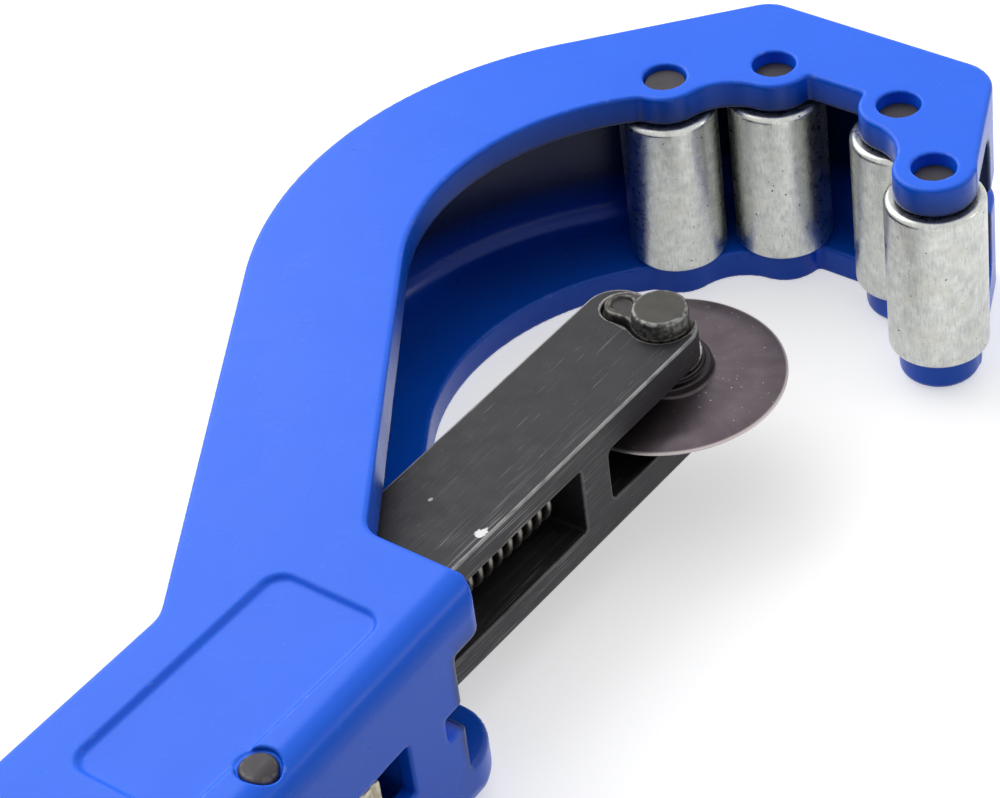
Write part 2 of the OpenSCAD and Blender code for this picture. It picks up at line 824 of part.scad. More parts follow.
module half_nut() {
    nut_h = channel_h - 2 * lever_play;
    inner = -pivot_side + lever_t;
    color("goldenrod") translate(-middle) difference() {
        translate([-pivot_back - nut_back - nut_len, inner, mid - nut_h / 2])
            cube([nut_len, -nut_short - inner, nut_h]);
        along_slide(pivot_back + nut_back + nut_len + over, nut_len + 2 * over,
            screw_d + 2 * lever_play);
    }
}

module lever_pin() {
    color("dimgray") translate(-middle) pivot_post(lever_pin_d, lever_pin_sink);
}

module lever_spring() {
    back = pivot_back + nut_back;
    wall_face = right_edge(back) + right_wall_t;
    length = -pivot_side - wall_face - 2 * face_play;
    path = spring_path(length, lever_spring_d, lever_spring_wire, lever_spring_pitch);
    color("silver") translate(-middle + [-back, wall_face + face_play, mid])
        rotate([0, 0, 90]) swept_wire(path, lever_spring_wire);
}

frame();
roller(0);  // roller_1
roller(1);  // roller_2
roller(2);  // roller_3
roller(3);  // roller_4
roller_pin(0);  // roller_pin_1
roller_pin(1);  // roller_pin_2
roller_pin(2);  // roller_pin_3
roller_pin(3);  // roller_pin_4
slide();
cutter_wheel();
wheel_washers();
wheel_pin();
pin_clip();
feed_spring();
spring_seat();
feed_screw();
screw_ring();
screw_bush();
knob();
knob_pin();
knob_cap();
release_lever();
half_nut();
lever_pin();
lever_spring();
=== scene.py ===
"""Looks of the plastic pipe cutter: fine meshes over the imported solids, materials, light and camera.

Shapes are worked out in millimetres in the plan of the casting: x runs forward from the line of the
two outer roller pins, y to the closed side of the jaw from the middle of the slide, and z up from the
floor. Named places of the casting, such as MOUTH, are counted back from that line, and the fork, the
bridge and the chips of the slide back from the wheel's axis. Every piece is put into the frame's
metres as its mesh is made.
"""

import math

import bmesh
import bpy
import numpy as np
from mathutils import Matrix, Vector


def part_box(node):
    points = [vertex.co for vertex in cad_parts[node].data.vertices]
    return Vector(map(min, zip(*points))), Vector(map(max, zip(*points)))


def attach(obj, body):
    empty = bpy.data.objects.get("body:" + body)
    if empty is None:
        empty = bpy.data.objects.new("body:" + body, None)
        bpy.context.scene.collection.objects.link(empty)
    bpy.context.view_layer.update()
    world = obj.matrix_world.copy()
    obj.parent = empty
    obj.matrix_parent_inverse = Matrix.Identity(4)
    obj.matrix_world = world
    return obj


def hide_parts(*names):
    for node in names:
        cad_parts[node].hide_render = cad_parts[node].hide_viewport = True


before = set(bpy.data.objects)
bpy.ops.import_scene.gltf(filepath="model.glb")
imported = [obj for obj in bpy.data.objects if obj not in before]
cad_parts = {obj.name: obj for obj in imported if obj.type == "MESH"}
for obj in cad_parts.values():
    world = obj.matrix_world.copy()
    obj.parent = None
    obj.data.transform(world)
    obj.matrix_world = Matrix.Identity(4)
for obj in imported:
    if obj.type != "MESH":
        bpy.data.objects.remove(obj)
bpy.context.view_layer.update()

MM = 0.001

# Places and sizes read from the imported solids


def metres(node):
    """Lowest and highest corner of a CAD node, in metres."""
    return [np.array(corner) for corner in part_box(node)]


def origin_of_plan():
    first, last = [sum(metres(pin)) / 2 for pin in ("roller_pin_1", "roller_pin_4")]
    return np.array([first[0], (first[1] + last[1]) / 2, 0.0])


ORIGIN = origin_of_plan()


def box(node):
    """Lowest and highest corner of a CAD node, in millimetres in the plan."""
    return [((corner - ORIGIN) / MM).round(4) for corner in metres(node)]


def centre(node):
    low, high = box(node)
    return (low + high) / 2


def size(node):
    low, high = box(node)
    return high - low


THICK = size("frame")[2]
MID = THICK / 2
REAR = -box("frame")[0][0]
FRONT = box("frame")[1][0]
PINS = [centre(f"roller_pin_{i}")[:2] for i in range(1, 5)]
PIN_R = size("roller_pin_1")[0] / 2
ROLLER_R = size("roller_1")[0] / 2
WHEEL = centre("cutter_wheel")
WHEEL_X = WHEEL[0]
SLIDE_HALF = size("slide")[1] / 2
SLIDE_RISE = size("slide")[2] / 2
SLIDE_TOP = MID + SLIDE_RISE
PIVOT = centre("lever_pin")[:2]
LEVER_PIN_R = size("lever_pin")[0] / 2
BUSH_R = size("screw_bush")[1] / 2
SPIGOT_R, SCREW_R, THREAD_DEPTH, PITCH = 3.0, size("feed_screw")[1] / 2, 1.1, 2.0
KNOB_R = size("knob")[1] / 2
CROWN_R = box("frame")[1][1]

# Sizes of the casting, in millimetres and degrees

CROWN, THROAT = np.array([-36.2, 0.0]), np.array([-32.4, 0.0])
THROAT_R = 34.9
BACK_SLOPE, BROW_SLOPE, CHIN_SLOPE, THROAT_SLOPE = 31.7, 41.9, 24.4, 33.6
BACK_CORNER_R, BROW_R, CHIN_R, THROAT_CORNER_R, REAR_R = 6.0, 5.0, 6.4, 4.0, 5.0
FLANGE, WEB, WEB_END = 4.6, 3.2, 15.8
LOBE_R, VALLEY_R, SOFTEN_R = 5.7, 8.0, 0.6
SWELL, MOUTH, FLOOR_LIP, MOUTH_R, FLOOR_R, LIP = 45.0, 97.0, 2.2, 2.5, 8.0, 6.2
ROOT_R, ROOT_GROWTH, ROOT_BACK, ROOT_FRONT = 0.35, 3.1, 6.0, 12.0
SIDE_WALL, LEFT_WALL, REAR_WALL = 2.4, 2.2, 4.0
LEVER_BAY, FLARE, PLAY = 7.2, 3.8, 0.25
GRIP_R, EDGE_R, INNER_EDGE_R, BULLNOSE_R, HOOK_R = 4.5, 0.55, 0.5, 1.4, 4.0
GRIP_START, BULLNOSE_REACH, HOOK_SIDE, HOOK_BACK = 1.0, 3.0, (10.0, 15.0), (10.0, 4.0)
BAY_R, WINDOW_R, WINDOW_EDGE_R, NOTCH_EDGE_R = 0.4, 0.3, 0.4, 0.25
PIN_EDGE_R, LEVER_EDGE_R, BUSH_EDGE_R, PANEL_EDGE_R = 0.25, 0.3, 0.2, 0.55
# Reach of the painted shade on the wall of the jaw's hollow, from where it starts to where it is full
HOLLOW_SHADE_FAR, HOLLOW_SHADE_NEAR = 1.5, 0.2
WINDOW, WINDOW_LEN, WINDOW_H, NOTCH, NOTCH_H = 114.0, 27.0, 8.1, 3.6, 3.7
PANEL, PANEL_LEN, PANEL_W, PANEL_LEFT, PANEL_R, PANEL_DEPTH = 108.2, 37.8, 16.8, 3.8, 2.75, 0.7
PIN_MOUTH, PIN_MOUTH_DEPTH = 0.1, 2.4
LEVER_MOUTH, LEVER_MOUTH_DEPTH, LEVER_PIN_SINK = 0.4, 0.8, 0.3
BAY_HALF, BAY_RISE = SLIDE_HALF + PLAY, SLIDE_RISE + PLAY
HANDLE_LEFT, HANDLE_RIGHT = BAY_HALF + LEFT_WALL, BAY_HALF + LEVER_BAY + SIDE_WALL

# Sizes of the rollers, the slide and what it carries, the springs, the knob and the lever

RUNNING_GAP, BORE_EDGE_R, ROLLER_EDGE_R, PIN_END_R = 0.05, 0.25, 0.9, 0.3
FORK_DEPTH, FORK_GAP, BRIDGE, ARM_R, FORK_R = 20.6, 8.5, 5.9, 4.8, 1.1
CHANNEL_H, CHANNEL_WALL, CHANNEL_R, SLIDE_EDGE_R = 10.5, 3.3, 0.6, 0.3
CLIP_SINK, CLIP_W, CLIP_LEN, POCKET_PLAY, CLIP_NECK_R = 1.0, 5.2, 8.8, 0.5, 0.8
POCKET_R, POCKET_EDGE_R = 0.3, 0.22
DISH, DISH_R, DISH_DEPTH, TAB_DROP, DROP_START = 6.4, 1.5, 0.75, 0.35, 4.0
HEAD_R, HEAD_EDGE_R, AXLE_R, AXLE_EDGE_R = size("wheel_pin")[0] / 2, 0.45, 3.0, 0.2
HUB_R, HUB_STEP, HUB_DROP, HUB_FOOT, WASHER = 6.4, 0.9, 0.7, 1.1, 0.8
BEVEL_W, BEVEL_HALF, BEVEL_R, CUTTING_HALF = 2.0, 0.7, 14.0, 0.15
FEED_SPRING_D, FEED_WIRE, FEED_COIL_PITCH = 10.0, 1.0, 2.1
RING_ROUNDINGS, BUSH_ROUNDINGS = (0.15, 0.25), (0.35, 0.45)
KNOB_COLLAR_R, KNOB_COLLAR, KNOB_END_R, FLUTE_EDGE_R = 10.5, 7.0, 2.5, 1.0
COLLAR_END_R, COLLAR_ROOT_R, RECESS_EDGE_R = 1.2, 0.8, 0.35
SCREW_HOLE_EDGE_R, CROSS_HOLE_EDGE_R = 0.3, 0.25
FLUTES, FLUTE_R, FLUTE_DEPTH = 10, 3.2, 2.1
EYE_R, RIB_PITCH, RIB_R, RIB_SINK, RIB_START = 4.0, 2.2, 0.55, 0.25, 3.0
NUT_BORE_R, NUT_GROOVE = 5.1, 0.25

# Outlines: lines, their meeting points, and closed outlines with rounded corners

ARC_STEP, ARC_TURN = 0.4, 15.0


def heading(angle):
    return np.array([math.cos(math.radians(angle)), math.sin(math.radians(angle))])


def line_at(point, angle):
    return np.array(point, float), heading(angle)


def line_beside(middle, angle, distance):
    """The line at this angle that passes a centre at a distance, to the left of its direction."""
    return line_at(middle + distance * heading(angle + 90), angle)


def cross(a, b):
    return a[0] * b[1] - a[1] * b[0]


def meet(a, b):
    return a[0] + a[1] * cross(b[0] - a[0], b[1]) / cross(a[1], b[1])


def unit(v):
    return v / np.linalg.norm(v)


def corner_arc(before, corner, after, r):
    u, v = unit(before - corner), unit(after - corner)
    half = math.acos(np.clip(u @ v, -1, 1)) / 2
    middle = corner + unit(u + v) * r / math.sin(half)
    first = corner + u * r / math.tan(half) - middle
    last = corner + v * r / math.tan(half) - middle
    turn = math.atan2(cross(first, last), first @ last)
    start = math.atan2(first[1], first[0])
    steps = max(4, math.ceil(r * abs(turn) / ARC_STEP), math.ceil(math.degrees(abs(turn)) / ARC_TURN))
    angles = start + turn * np.arange(steps + 1) / steps
    return middle + r * np.stack([np.cos(angles), np.sin(angles)], 1)


def rounded(corners):
    """A closed outline from corners (point, radius); a radius of zero stays sharp."""
    points = []
    for i, (corner, r) in enumerate(corners):
        corner = np.array(corner, float)
        if r == 0:
            points.append(corner[None])
        else:
            before, after = corners[i - 1][0], corners[(i + 1) % len(corners)][0]
            points.append(corner_arc(np.array(before, float), corner, np.array(after, float), r))
    return np.concatenate(points)


def rectangle(x0, x1, y0, y1, r):
    return rounded([((x0, y0), r), ((x1, y0), r), ((x1, y1), r), ((x0, y1), r)])


# Solids as signed distances on a grid, negative inside

HAIR, SHORTEST_STEP = 1e-4, 0.02


def outline_distance(outline, x, y):
    """Distance from a closed outline to each point of the grid of x and y."""
    px, py = np.meshgrid(x, y, indexing="ij")
    nearest = np.full(px.shape, np.inf)
    inside = np.zeros(px.shape, bool)
    for a, b in zip(outline, np.roll(outline, -1, axis=0)):
        side = b - a
        if side @ side < HAIR**2:
            continue
        along = np.clip(((px - a[0]) * side[0] + (py - a[1]) * side[1]) / (side @ side), 0, 1)
        gap = (px - a[0] - along * side[0]) ** 2 + (py - a[1] - along * side[1]) ** 2
        nearest = np.minimum(nearest, gap)
        if a[1] != b[1]:
            spans = (a[1] > py) != (b[1] > py)
            inside ^= spans & (px < a[0] + (py - a[1]) * side[0] / side[1])
    nearest = np.sqrt(nearest)
    return np.where(inside, -nearest, nearest)


def column(outline, x, y):
    """Distance from an upright column with this outline, the same at every height."""
    return outline_distance(outline, x, y)[:, :, None].astype(np.float32)


def both(a, b, r):
    """What two solids share, with a rounding of radius r along their new edges."""
    return np.minimum(-r, np.maximum(a, b)) + np.hypot(np.maximum(a + r, 0), np.maximum(b + r, 0))


def joined(a, b, r):
    return -both(-a, -b, r)


def cut(a, b, r):
    """Solid a less solid b, with rounded edges."""
    return both(a, -b, r)


def slab(value, first, last):
    """Between two planes, as a distance."""
    return np.abs(value - (first + last) / 2) - (last - first) / 2


def lines(*stretches):
    """Grid lines through stretches (first, last, step)."""
    places = [np.linspace(a, b, max(2, round((b - a) / step) + 1)) for a, b, step in stretches]
    places = np.unique(np.concatenate(places).round(3))
    return places[np.append(np.diff(places) > SHORTEST_STEP, True)]


def edge_lines(first, last, fine, coarse, *marks, reach=0.9):
    """Grid lines from first to last, fine near the ends and the marks and coarse between them."""
    stops = sorted([first, last, *marks])
    stretches = [(first - 3 * fine, first, fine), (last, last + 3 * fine, fine)]
    for a, b in zip(stops, stops[1:]):
        near = min(reach, (b - a) / 2)
        stretches += [(a, a + near, fine), (b - near, b, fine)]
        if b - a > 2 * reach + fine:
            stretches.append((a + near, b - near, coarse))
    return lines(*stretches)


def around(place, gx, gy):
    """Distance from an upright line through a place."""
    return np.hypot(gx - place[0], gy - place[1])


def off_screw(gy, gz):
    """Distance from the line of the feed screw."""
    return np.hypot(gy, gz - MID)


def mesh_grid(x, y, z):
    return np.meshgrid(x.astype(np.float32), y.astype(np.float32), z.astype(np.float32),
                       indexing="ij", sparse=True)


def surface(value, grid):
    """Points and faces where value is zero: one point in each cell of the grid that it passes."""
    cells, spots = [], []
    for axis in range(3):
        here, ahead = [slice(None)] * 3, [slice(None)] * 3
        here[axis], ahead[axis] = slice(None, -1), slice(1, None)
        a, b = value[tuple(here)], value[tuple(ahead)]
        at = np.argwhere((a < 0) != (b < 0))
        first, last = a[tuple(at.T)].astype(float), b[tuple(at.T)].astype(float)
        spot = np.stack([grid[k][at[:, k]] for k in range(3)], 1)
        spot[:, axis] += (grid[axis][at[:, axis] + 1] - spot[:, axis]) * first / (first - last)
        quad = []
        for back in ((0, 0), (1, 0), (1, 1), (0, 1)):
            cell = at.copy()
            cell[:, (axis + 1) % 3] -= back[0]
            cell[:, (axis + 2) % 3] -= back[1]
            quad.append(np.ravel_multi_index(cell.T, value.shape))
        quad = np.stack(quad, 1)
        quad[first > 0] = quad[first > 0][:, ::-1]
        cells.append(quad)
        spots.append(spot)
    cells, spots = np.concatenate(cells), np.repeat(np.concatenate(spots), 4, axis=0)
    place = np.unique(cells.ravel(), return_inverse=True)[1]
    count = np.bincount(place)
    points = np.stack([np.bincount(place, spots[:, k]) / count for k in range(3)], 1)
    return points, place.reshape(-1, 4)


def sample(value, grid, points):
    """The grid's value at each point."""
    cell = [np.clip(np.searchsorted(g, points[:, k]) - 1, 0, len(g) - 2) for k, g in enumerate(grid)]
    share = [(points[:, k] - g[cell[k]]) / (g[cell[k] + 1] - g[cell[k]]) for k, g in enumerate(grid)]
    total = np.zeros(len(points))
    for corner in np.ndindex(2, 2, 2):
        weight = np.prod([share[k] if corner[k] else 1 - share[k] for k in range(3)], axis=0)
        total += weight * value[tuple(cell[k] + corner[k] for k in range(3))]
    return total


# Pieces

FLAT_ANGLE = math.radians(0.2)
TILE, EDGE_BEND, WEAR_SHARE, TURN_WEAR = 7.0, 0.1, 0.6, 5.0
TOUCH = 1e-7


def add_object(name, data):
    piece = bpy.data.objects.new(name, data)
    bpy.context.scene.collection.objects.link(piece)
    return piece


def make_mesh(name, points, faces):
    mesh = bpy.data.meshes.new(name)
    mesh.from_pydata((np.asarray(points) * MM + ORIGIN).tolist(), [], np.asarray(faces).tolist())
    mesh.shade_smooth()
    return add_object(name, mesh)


def apply_modifiers(piece):
    bpy.context.view_layer.update()
    made = piece.evaluated_get(bpy.context.evaluated_depsgraph_get())
    old = piece.data
    piece.data = bpy.data.meshes.new_from_object(made)
    piece.modifiers.clear()
    bpy.data.meshes.remove(old)


def bend(value, grid, places, reach):
    """How sharply a solid's surface turns outwards at each place, over a reach round it."""
    total = np.zeros(len(places))
    for k in range(3):
        step = np.eye(3)[k] * reach
        total += sample(value, grid, places + step) + sample(value, grid, places - step)
    return (total - 6 * sample(value, grid, places)) / reach**2


def join_flats(piece, middles, at_edge):
    """Joins the faces of flat stretches in tiles, apart from those beside a rounded edge."""
    kinds = 11
    tile = np.floor(middles / TILE).astype(int) @ np.array([1, 3, 7]) % kinds
    piece.data.polygons.foreach_set("material_index", 2 * tile + at_edge)
    thin = piece.modifiers.new("flats", "DECIMATE")
    thin.decimate_type = "DISSOLVE"
    thin.angle_limit = FLAT_ANGLE
    thin.delimit = {"MATERIAL"}
    apply_modifiers(piece)
    piece.data.polygons.foreach_set("material_index", np.zeros(len(piece.data.polygons), int))


def keep(piece, name, value):
    """Keeps a share at each point of a piece for its material, such as how worn it is."""
    kept = piece.data.attributes.new(name, "FLOAT", "POINT")
    kept.data.foreach_set("value", np.clip(value, 0, 1))


def places_of(piece):
    places = np.empty(len(piece.data.vertices) * 3)
    piece.data.vertices.foreach_get("co", places)
    return (places.reshape(-1, 3) - ORIGIN) / MM


def solid(name, value, x, y, z, reach=0.25):
    """A piece from a solid on a grid, with normals and wear measured over a reach round each point."""
    grid = (x, y, z)
    value = value - HAIR
    points, faces = surface(value, grid)
    piece = make_mesh(name, points, faces)
    middles = points[faces].mean(axis=1)
    join_flats(piece, middles, np.abs(bend(value, grid, middles, 2 * reach)) > EDGE_BEND)
    piece.data.shade_smooth()
    places = places_of(piece)
    slope = np.zeros(places.shape)
    for k in range(3):
        step = np.eye(3)[k] * reach
        slope[:, k] = sample(value, grid, places + step) - sample(value, grid, places - step)
    slope /= np.maximum(np.linalg.norm(slope, axis=1, keepdims=True), HAIR)
    piece.data.normals_split_custom_set_from_vertices(slope)
    keep(piece, "wear", bend(value, grid, places, reach) * WEAR_SHARE)
    return piece


def close_up(piece):
    """Joins points that lie on each other, and makes flats look flat up to their rounded edges."""
    made = bmesh.new()
    made.from_mesh(piece.data)
    bmesh.ops.remove_doubles(made, verts=made.verts, dist=TOUCH)
    made.to_mesh(piece.data)
    made.free()
    even = piece.modifiers.new("normals", "WEIGHTED_NORMAL")
    even.mode = "FACE_AREA"
    apply_modifiers(piece)


def tube_faces(rows, sides, closed):
    """Faces of a tube of rings of points; a closed tube joins its last ring to its first."""
    first = np.arange(rows if closed else rows - 1)[:, None] * sides
    ahead = (first + sides) % (rows * sides)
    here, beside = np.arange(sides)[None], (np.arange(sides)[None] + 1) % sides
    return np.stack([first + here, first + beside, ahead + beside, ahead + here], -1).reshape(-1, 4)


def turned(name, corners, at, along="z", sides=96):
    """A piece turned round an axis from a closed half outline of corners ((radius, height), rounding).

    The corners run counter-clockwise with the radius to the right and the height up.
    """
    outline = rounded(corners)
    angle = 2 * math.pi * np.arange(sides) / sides
    r, height = outline[:, 0, None], outline[:, 1, None]
    points = np.stack([r * np.cos(angle), r * np.sin(angle), height + 0 * angle], -1).reshape(-1, 3)
    if along == "x":
        points = points[:, [2, 0, 1]]
    piece = make_mesh(name, points + np.array(at), tube_faces(len(outline), sides, True))
    before = outline - np.roll(outline, 1, axis=0)
    after = np.roll(before, -1, axis=0)
    turn = before[:, 0] * after[:, 1] - before[:, 1] * after[:, 0]
    turn /= np.maximum(np.linalg.norm(before, axis=1) * np.linalg.norm(after, axis=1), HAIR**2)
    keep(piece, "wear", np.repeat(turn * TURN_WEAR * (outline[:, 0] > 0), sides))
    close_up(piece)
    return piece


def disc_corners(r, low, high, rounding):
    flat = r - 2 * rounding
    return [((0, low), 0), ((flat, low), 0), ((r, low), rounding),
            ((r, high), rounding), ((flat, high), 0), ((0, high), 0)]


def ring_corners(bore, r, low, high, inner, outer):
    return [((bore, low), inner), ((r, low), outer), ((r, high), outer), ((bore, high), inner)]


# Casting


def fade(value, first, last):
    """0 at first, 1 at last, and a smooth step between."""
    t = np.clip((value - first) / (last - first), 0, 1)
    return t * t * (3 - 2 * t)


def open_side(back):
    """Outer face of the handle's open side, at a distance behind the outer pins."""
    return -HANDLE_RIGHT - FLARE * (back - MOUTH) / (REAR - MOUTH)


def shell_corners(wall, side_wall):
    """Corners from the handle over the crown to the chin, drawn in by a wall."""
    left = line_at((0, HANDLE_LEFT - side_wall), 0)
    back = line_beside(CROWN, BACK_SLOPE, CROWN_R - wall)
    brow = line_beside(CROWN, -BROW_SLOPE, CROWN_R - wall)
    front = line_at((FRONT - wall, 0), 90)
    chin = line_beside(PINS[3], CHIN_SLOPE, wall - LOBE_R)
    return [
        (meet(left, back), BACK_CORNER_R + wall),
        (meet(back, brow), CROWN_R - wall),
        (meet(brow, front), max(BROW_R - wall, 1.0)),
        (meet(front, chin), max(CHIN_R - wall, 1.0)),
    ]


def jaw_outline(mouth, corner_r):
    throat_edge = line_beside(THROAT, THROAT_SLOPE, THROAT_R)
    ray = unit(PINS[0] - THROAT)
    throat_start = THROAT + THROAT_R * ray
    tangent = (throat_start, np.array([-ray[1], ray[0]]))
    chin_end = PINS[3] + LOBE_R * heading(CHIN_SLOPE - 90)
    return rounded(
        [((-REAR, HANDLE_LEFT), REAR_R)]
        + shell_corners(0, 0)
        + [(place, 0) for place in (chin_end, PINS[3], PINS[2], PINS[1], PINS[0], throat_start)]
        + [
            (meet(tangent, throat_edge), THROAT_R),
            (meet(throat_edge, line_at((-mouth, 0), 90)), THROAT_CORNER_R),
            ((-mouth, open_side(mouth)), corner_r),
            ((-REAR, open_side(REAR)), REAR_R),
        ]
    )


def hollow_outline():
    """The hollow between the flanges, which runs back as the slide's bay."""
    beyond = open_side(REAR) - CROWN_R
    chin = line_beside(PINS[3], CHIN_SLOPE, WEB - LOBE_R)
    bay_back = REAR - REAR_WALL
    return rounded(
        [((-bay_back, BAY_HALF), 0)]
        + shell_corners(WEB, LEFT_WALL)
        + [
            (meet(chin, line_at((WEB_END, 0), 90)), 0),
            ((WEB_END, beyond), 0),
            ((-MOUTH - LIP, beyond), 0),
            ((-MOUTH - LIP, -BAY_HALF), 0),
            ((-bay_back, -BAY_HALF), 0),
        ]
    )


def lobe_distance(a, b, px, py):
    """Two round lobes at a pair of pins, with a hollow arc between them on each side."""
    middle, half = (a + b) / 2, np.linalg.norm(b - a) / 2
    along = unit(b - a)
    reach = math.sqrt((LOBE_R + VALLEY_R) ** 2 - half**2)
    s = np.abs((px - middle[0]) * along[0] + (py - middle[1]) * along[1])
    t = np.abs((px - middle[0]) * along[1] - (py - middle[1]) * along[0])
    lobes = np.hypot(s - half, t) - LOBE_R
    valley = VALLEY_R - np.hypot(s, t - reach)
    return np.where(s < half * (1 - t / reach), valley, lobes)


def casting_plan(x, y, mouth, corner_r):
    px, py = np.meshgrid(x, y, indexing="ij")
    plan = outline_distance(jaw_outline(mouth, corner_r), x, y)
    for a, b in ((0, 1), (2, 3)):
        plan = joined(plan, lobe_distance(PINS[a], PINS[b], px, py), SOFTEN_R)
    return plan[:, :, None].astype(np.float32)


def casting_outside(x, y, z):
    """The casting without its hollows, with the long edges of the handle's open side rounded widely."""
    gx, gy, gz = mesh_grid(x, y, z)
    upper = both(casting_plan(x, y, MOUTH, MOUTH_R), gz - THICK, EDGE_R)
    ends = [around(pin, gx, gy) for pin in PINS[2:]]
    bullnose = fade(np.minimum(*ends), LOBE_R + BULLNOSE_REACH, LOBE_R)
    edge = EDGE_R + (BULLNOSE_R - EDGE_R) * bullnose
    hook = fade(-gy, *HOOK_SIDE) * fade(-gx, MOUTH - HOOK_BACK[0], MOUTH - HOOK_BACK[1])
    edge = edge + (HOOK_R - edge) * hook
    lower = both(casting_plan(x, y, MOUTH - FLOOR_LIP, FLOOR_R), -gz, edge)
    side = (open_side(-gx) - gy) / math.hypot(1, FLARE / (REAR - MOUTH))
    grip = both(side, np.abs(gz - MID) - MID, GRIP_R)
    outside = np.where(gz > MID, upper, lower)
    return np.where(gx < FLOOR_LIP + GRIP_START - MOUTH, np.maximum(outside, grip), outside)


def casting_grid():
    """Lines of the casting's grid, close together beside its edges and its lever pin."""
    step, fine, margin, pad = 0.45, 0.2, 1.0, 0.8
    right = min(PINS[3][1] - LOBE_R, open_side(REAR)) - margin
    near = LEVER_PIN_R + margin
    spans = ((-REAR - margin, FRONT + margin), (right, CROWN_R + margin))
    x, y = (lines((first, mid - near, step), (mid - near, mid + near, fine), (mid + near, last, step))
            for (first, last), mid in zip(spans, PIVOT))
    rim, sill, above_sill = 1.6, MID - WINDOW_H / 2, 0.75
    stops = (-pad, rim, FLANGE - margin, FLANGE + margin, sill - step, sill + above_sill, MID)
    steps = (fine, 0.5, fine, 0.6, 0.3, 0.55)
    half = lines(*zip(stops, stops[1:], steps))
    return x, y, np.unique(np.concatenate([half, THICK - half]).round(3))


def jaw_hollow(x, y, z):
    """The space between the flanges, which runs back as the slide's bay."""
    gx, _, gz = mesh_grid(x, y, z)
    half = np.interp(-gx, [SWELL, MOUTH], [MID - FLANGE, BAY_RISE]).astype(np.float32)
    root = ROOT_R + ROOT_GROWTH * fade(gx, -MOUTH - ROOT_BACK, -MOUTH + ROOT_FRONT)
    return both(column(hollow_outline(), x, y), np.abs(gz - MID) - half, root)


def lever_space(x, y, rise):
    """The space beside the slide's bay that the release lever swings in."""
    end = -box("release_lever")[0][0] + SIDE_WALL
    space = np.array([
        (-WINDOW, -SLIDE_HALF),
        (-WINDOW, open_side(WINDOW) + SIDE_WALL),
        (-end, open_side(end) + SIDE_WALL),
        (-end, -SLIDE_HALF),
    ])
    return both(column(space, x, y), rise - BAY_RISE, BAY_R)


def open_wall(body, gx, gy, rise):
    """The body with the lever's window and the front notch in the wall of the handle's open side."""
    in_wall = gy + BAY_HALF + LEVER_BAY / 2
    window = both(slab(gx, -WINDOW - WINDOW_LEN, -WINDOW), rise - WINDOW_H / 2, WINDOW_R)
    body = cut(body, np.maximum(window, in_wall), WINDOW_EDGE_R)
    notch = np.maximum(-gx - MOUTH - LIP - NOTCH, rise - NOTCH_H / 2)
    return cut(body, np.maximum(notch, in_wall), NOTCH_EDGE_R)


def bore_holes(body, outside, gx, gy, gz):
    """The body with the bores of its pins, which are wider at their mouths, and of the bush."""
    rise = np.abs(gz - MID)
    for place in PINS:
        away = around(place, gx, gy)
        mouth = np.maximum(away - PIN_R - PIN_MOUTH, MID - PIN_MOUTH_DEPTH - rise)
        body = cut(body, np.minimum(mouth, away - PIN_R), PIN_EDGE_R)
    away = around(PIVOT, gx, gy)
    mouth = np.maximum(away - LEVER_PIN_R - LEVER_MOUTH, -outside - LEVER_MOUTH_DEPTH)
    body = cut(body, np.minimum(mouth, away - LEVER_PIN_R), LEVER_EDGE_R)
    bush, past_wall = off_screw(gy, gz) - BUSH_R, 1.0
    return cut(body, np.maximum(bush, gx + REAR - REAR_WALL - past_wall), BUSH_EDGE_R)


def casting():
    x, y, z = casting_grid()
    gx, gy, gz = mesh_grid(x, y, z)
    rise = np.abs(gz - MID)
    outside, hollow = casting_outside(x, y, z), jaw_hollow(x, y, z)
    body = cut(outside, np.minimum(hollow, lever_space(x, y, rise)), INNER_EDGE_R)
    body = bore_holes(open_wall(body, gx, gy, rise), outside, gx, gy, gz)
    panel = rectangle(-PANEL - PANEL_LEN, -PANEL, PANEL_LEFT - PANEL_W, PANEL_LEFT, PANEL_R)
    panel = both(column(panel, x, y), THICK - PANEL_DEPTH - gz, PANEL_EDGE_R)
    piece = solid("casting", cut(body, panel, PANEL_EDGE_R), x, y, z)
    # A share for painted shade: the surfaces of the jaw's hollow, which the paint darkens as if shaded
    from_hollow = np.abs(sample(hollow, (x, y, z), places_of(piece)))
    keep(piece, "hollow", fade(from_hollow, HOLLOW_SHADE_FAR, HOLLOW_SHADE_NEAR))
    return piece


# Rollers and pins


def upright(name, node, corners, sides=96):
    """A piece turned round the upright axis of its node."""
    return turned(name, corners, (*centre(node)[:2], 0), sides=sides)


def roller(i):
    node = f"roller_{i}"
    low, high = box(node)
    corners = ring_corners(PIN_R + RUNNING_GAP, ROLLER_R, low[2], high[2], BORE_EDGE_R, ROLLER_EDGE_R)
    return upright(node, node, corners)


def roller_pin(i):
    node = f"roller_pin_{i}"
    low, high = box(node)
    return upright(node, node, disc_corners(PIN_R, low[2], high[2], PIN_END_R))


def lever_pin():
    """The pin's ends follow the rounded face of the handle."""
    reach, pad, end_r, step, coarse = LEVER_PIN_R + 1, 0.5, 0.55, 0.16, 1.2
    near, far = 5, THICK - 5
    x, y = (lines((mid - reach, mid + reach, step)) for mid in PIVOT)
    z = lines((-pad, near, 0.2), (near, far, coarse), (far, THICK + pad, 0.12))
    away = around(PIVOT, *mesh_grid(x, y, z)[:2]) - LEVER_PIN_R
    return solid("lever_pin", both(away, casting_outside(x, y, z) + LEVER_PIN_SINK, end_r), x, y, z)


# Slide, wheel and clip


def clip_distance(gx, gy, gap):
    """Plan of the clip: an eye round the pin's head and a tab with a round end."""
    eye = around(WHEEL, gx, gy) - HEAD_R - gap
    end = WHEEL[1] + CLIP_LEN - CLIP_W / 2
    tab = np.hypot(gx - WHEEL_X, gy - np.clip(gy, WHEEL[1], end)) - CLIP_W / 2 - gap
    return joined(eye, tab, CLIP_NECK_R)


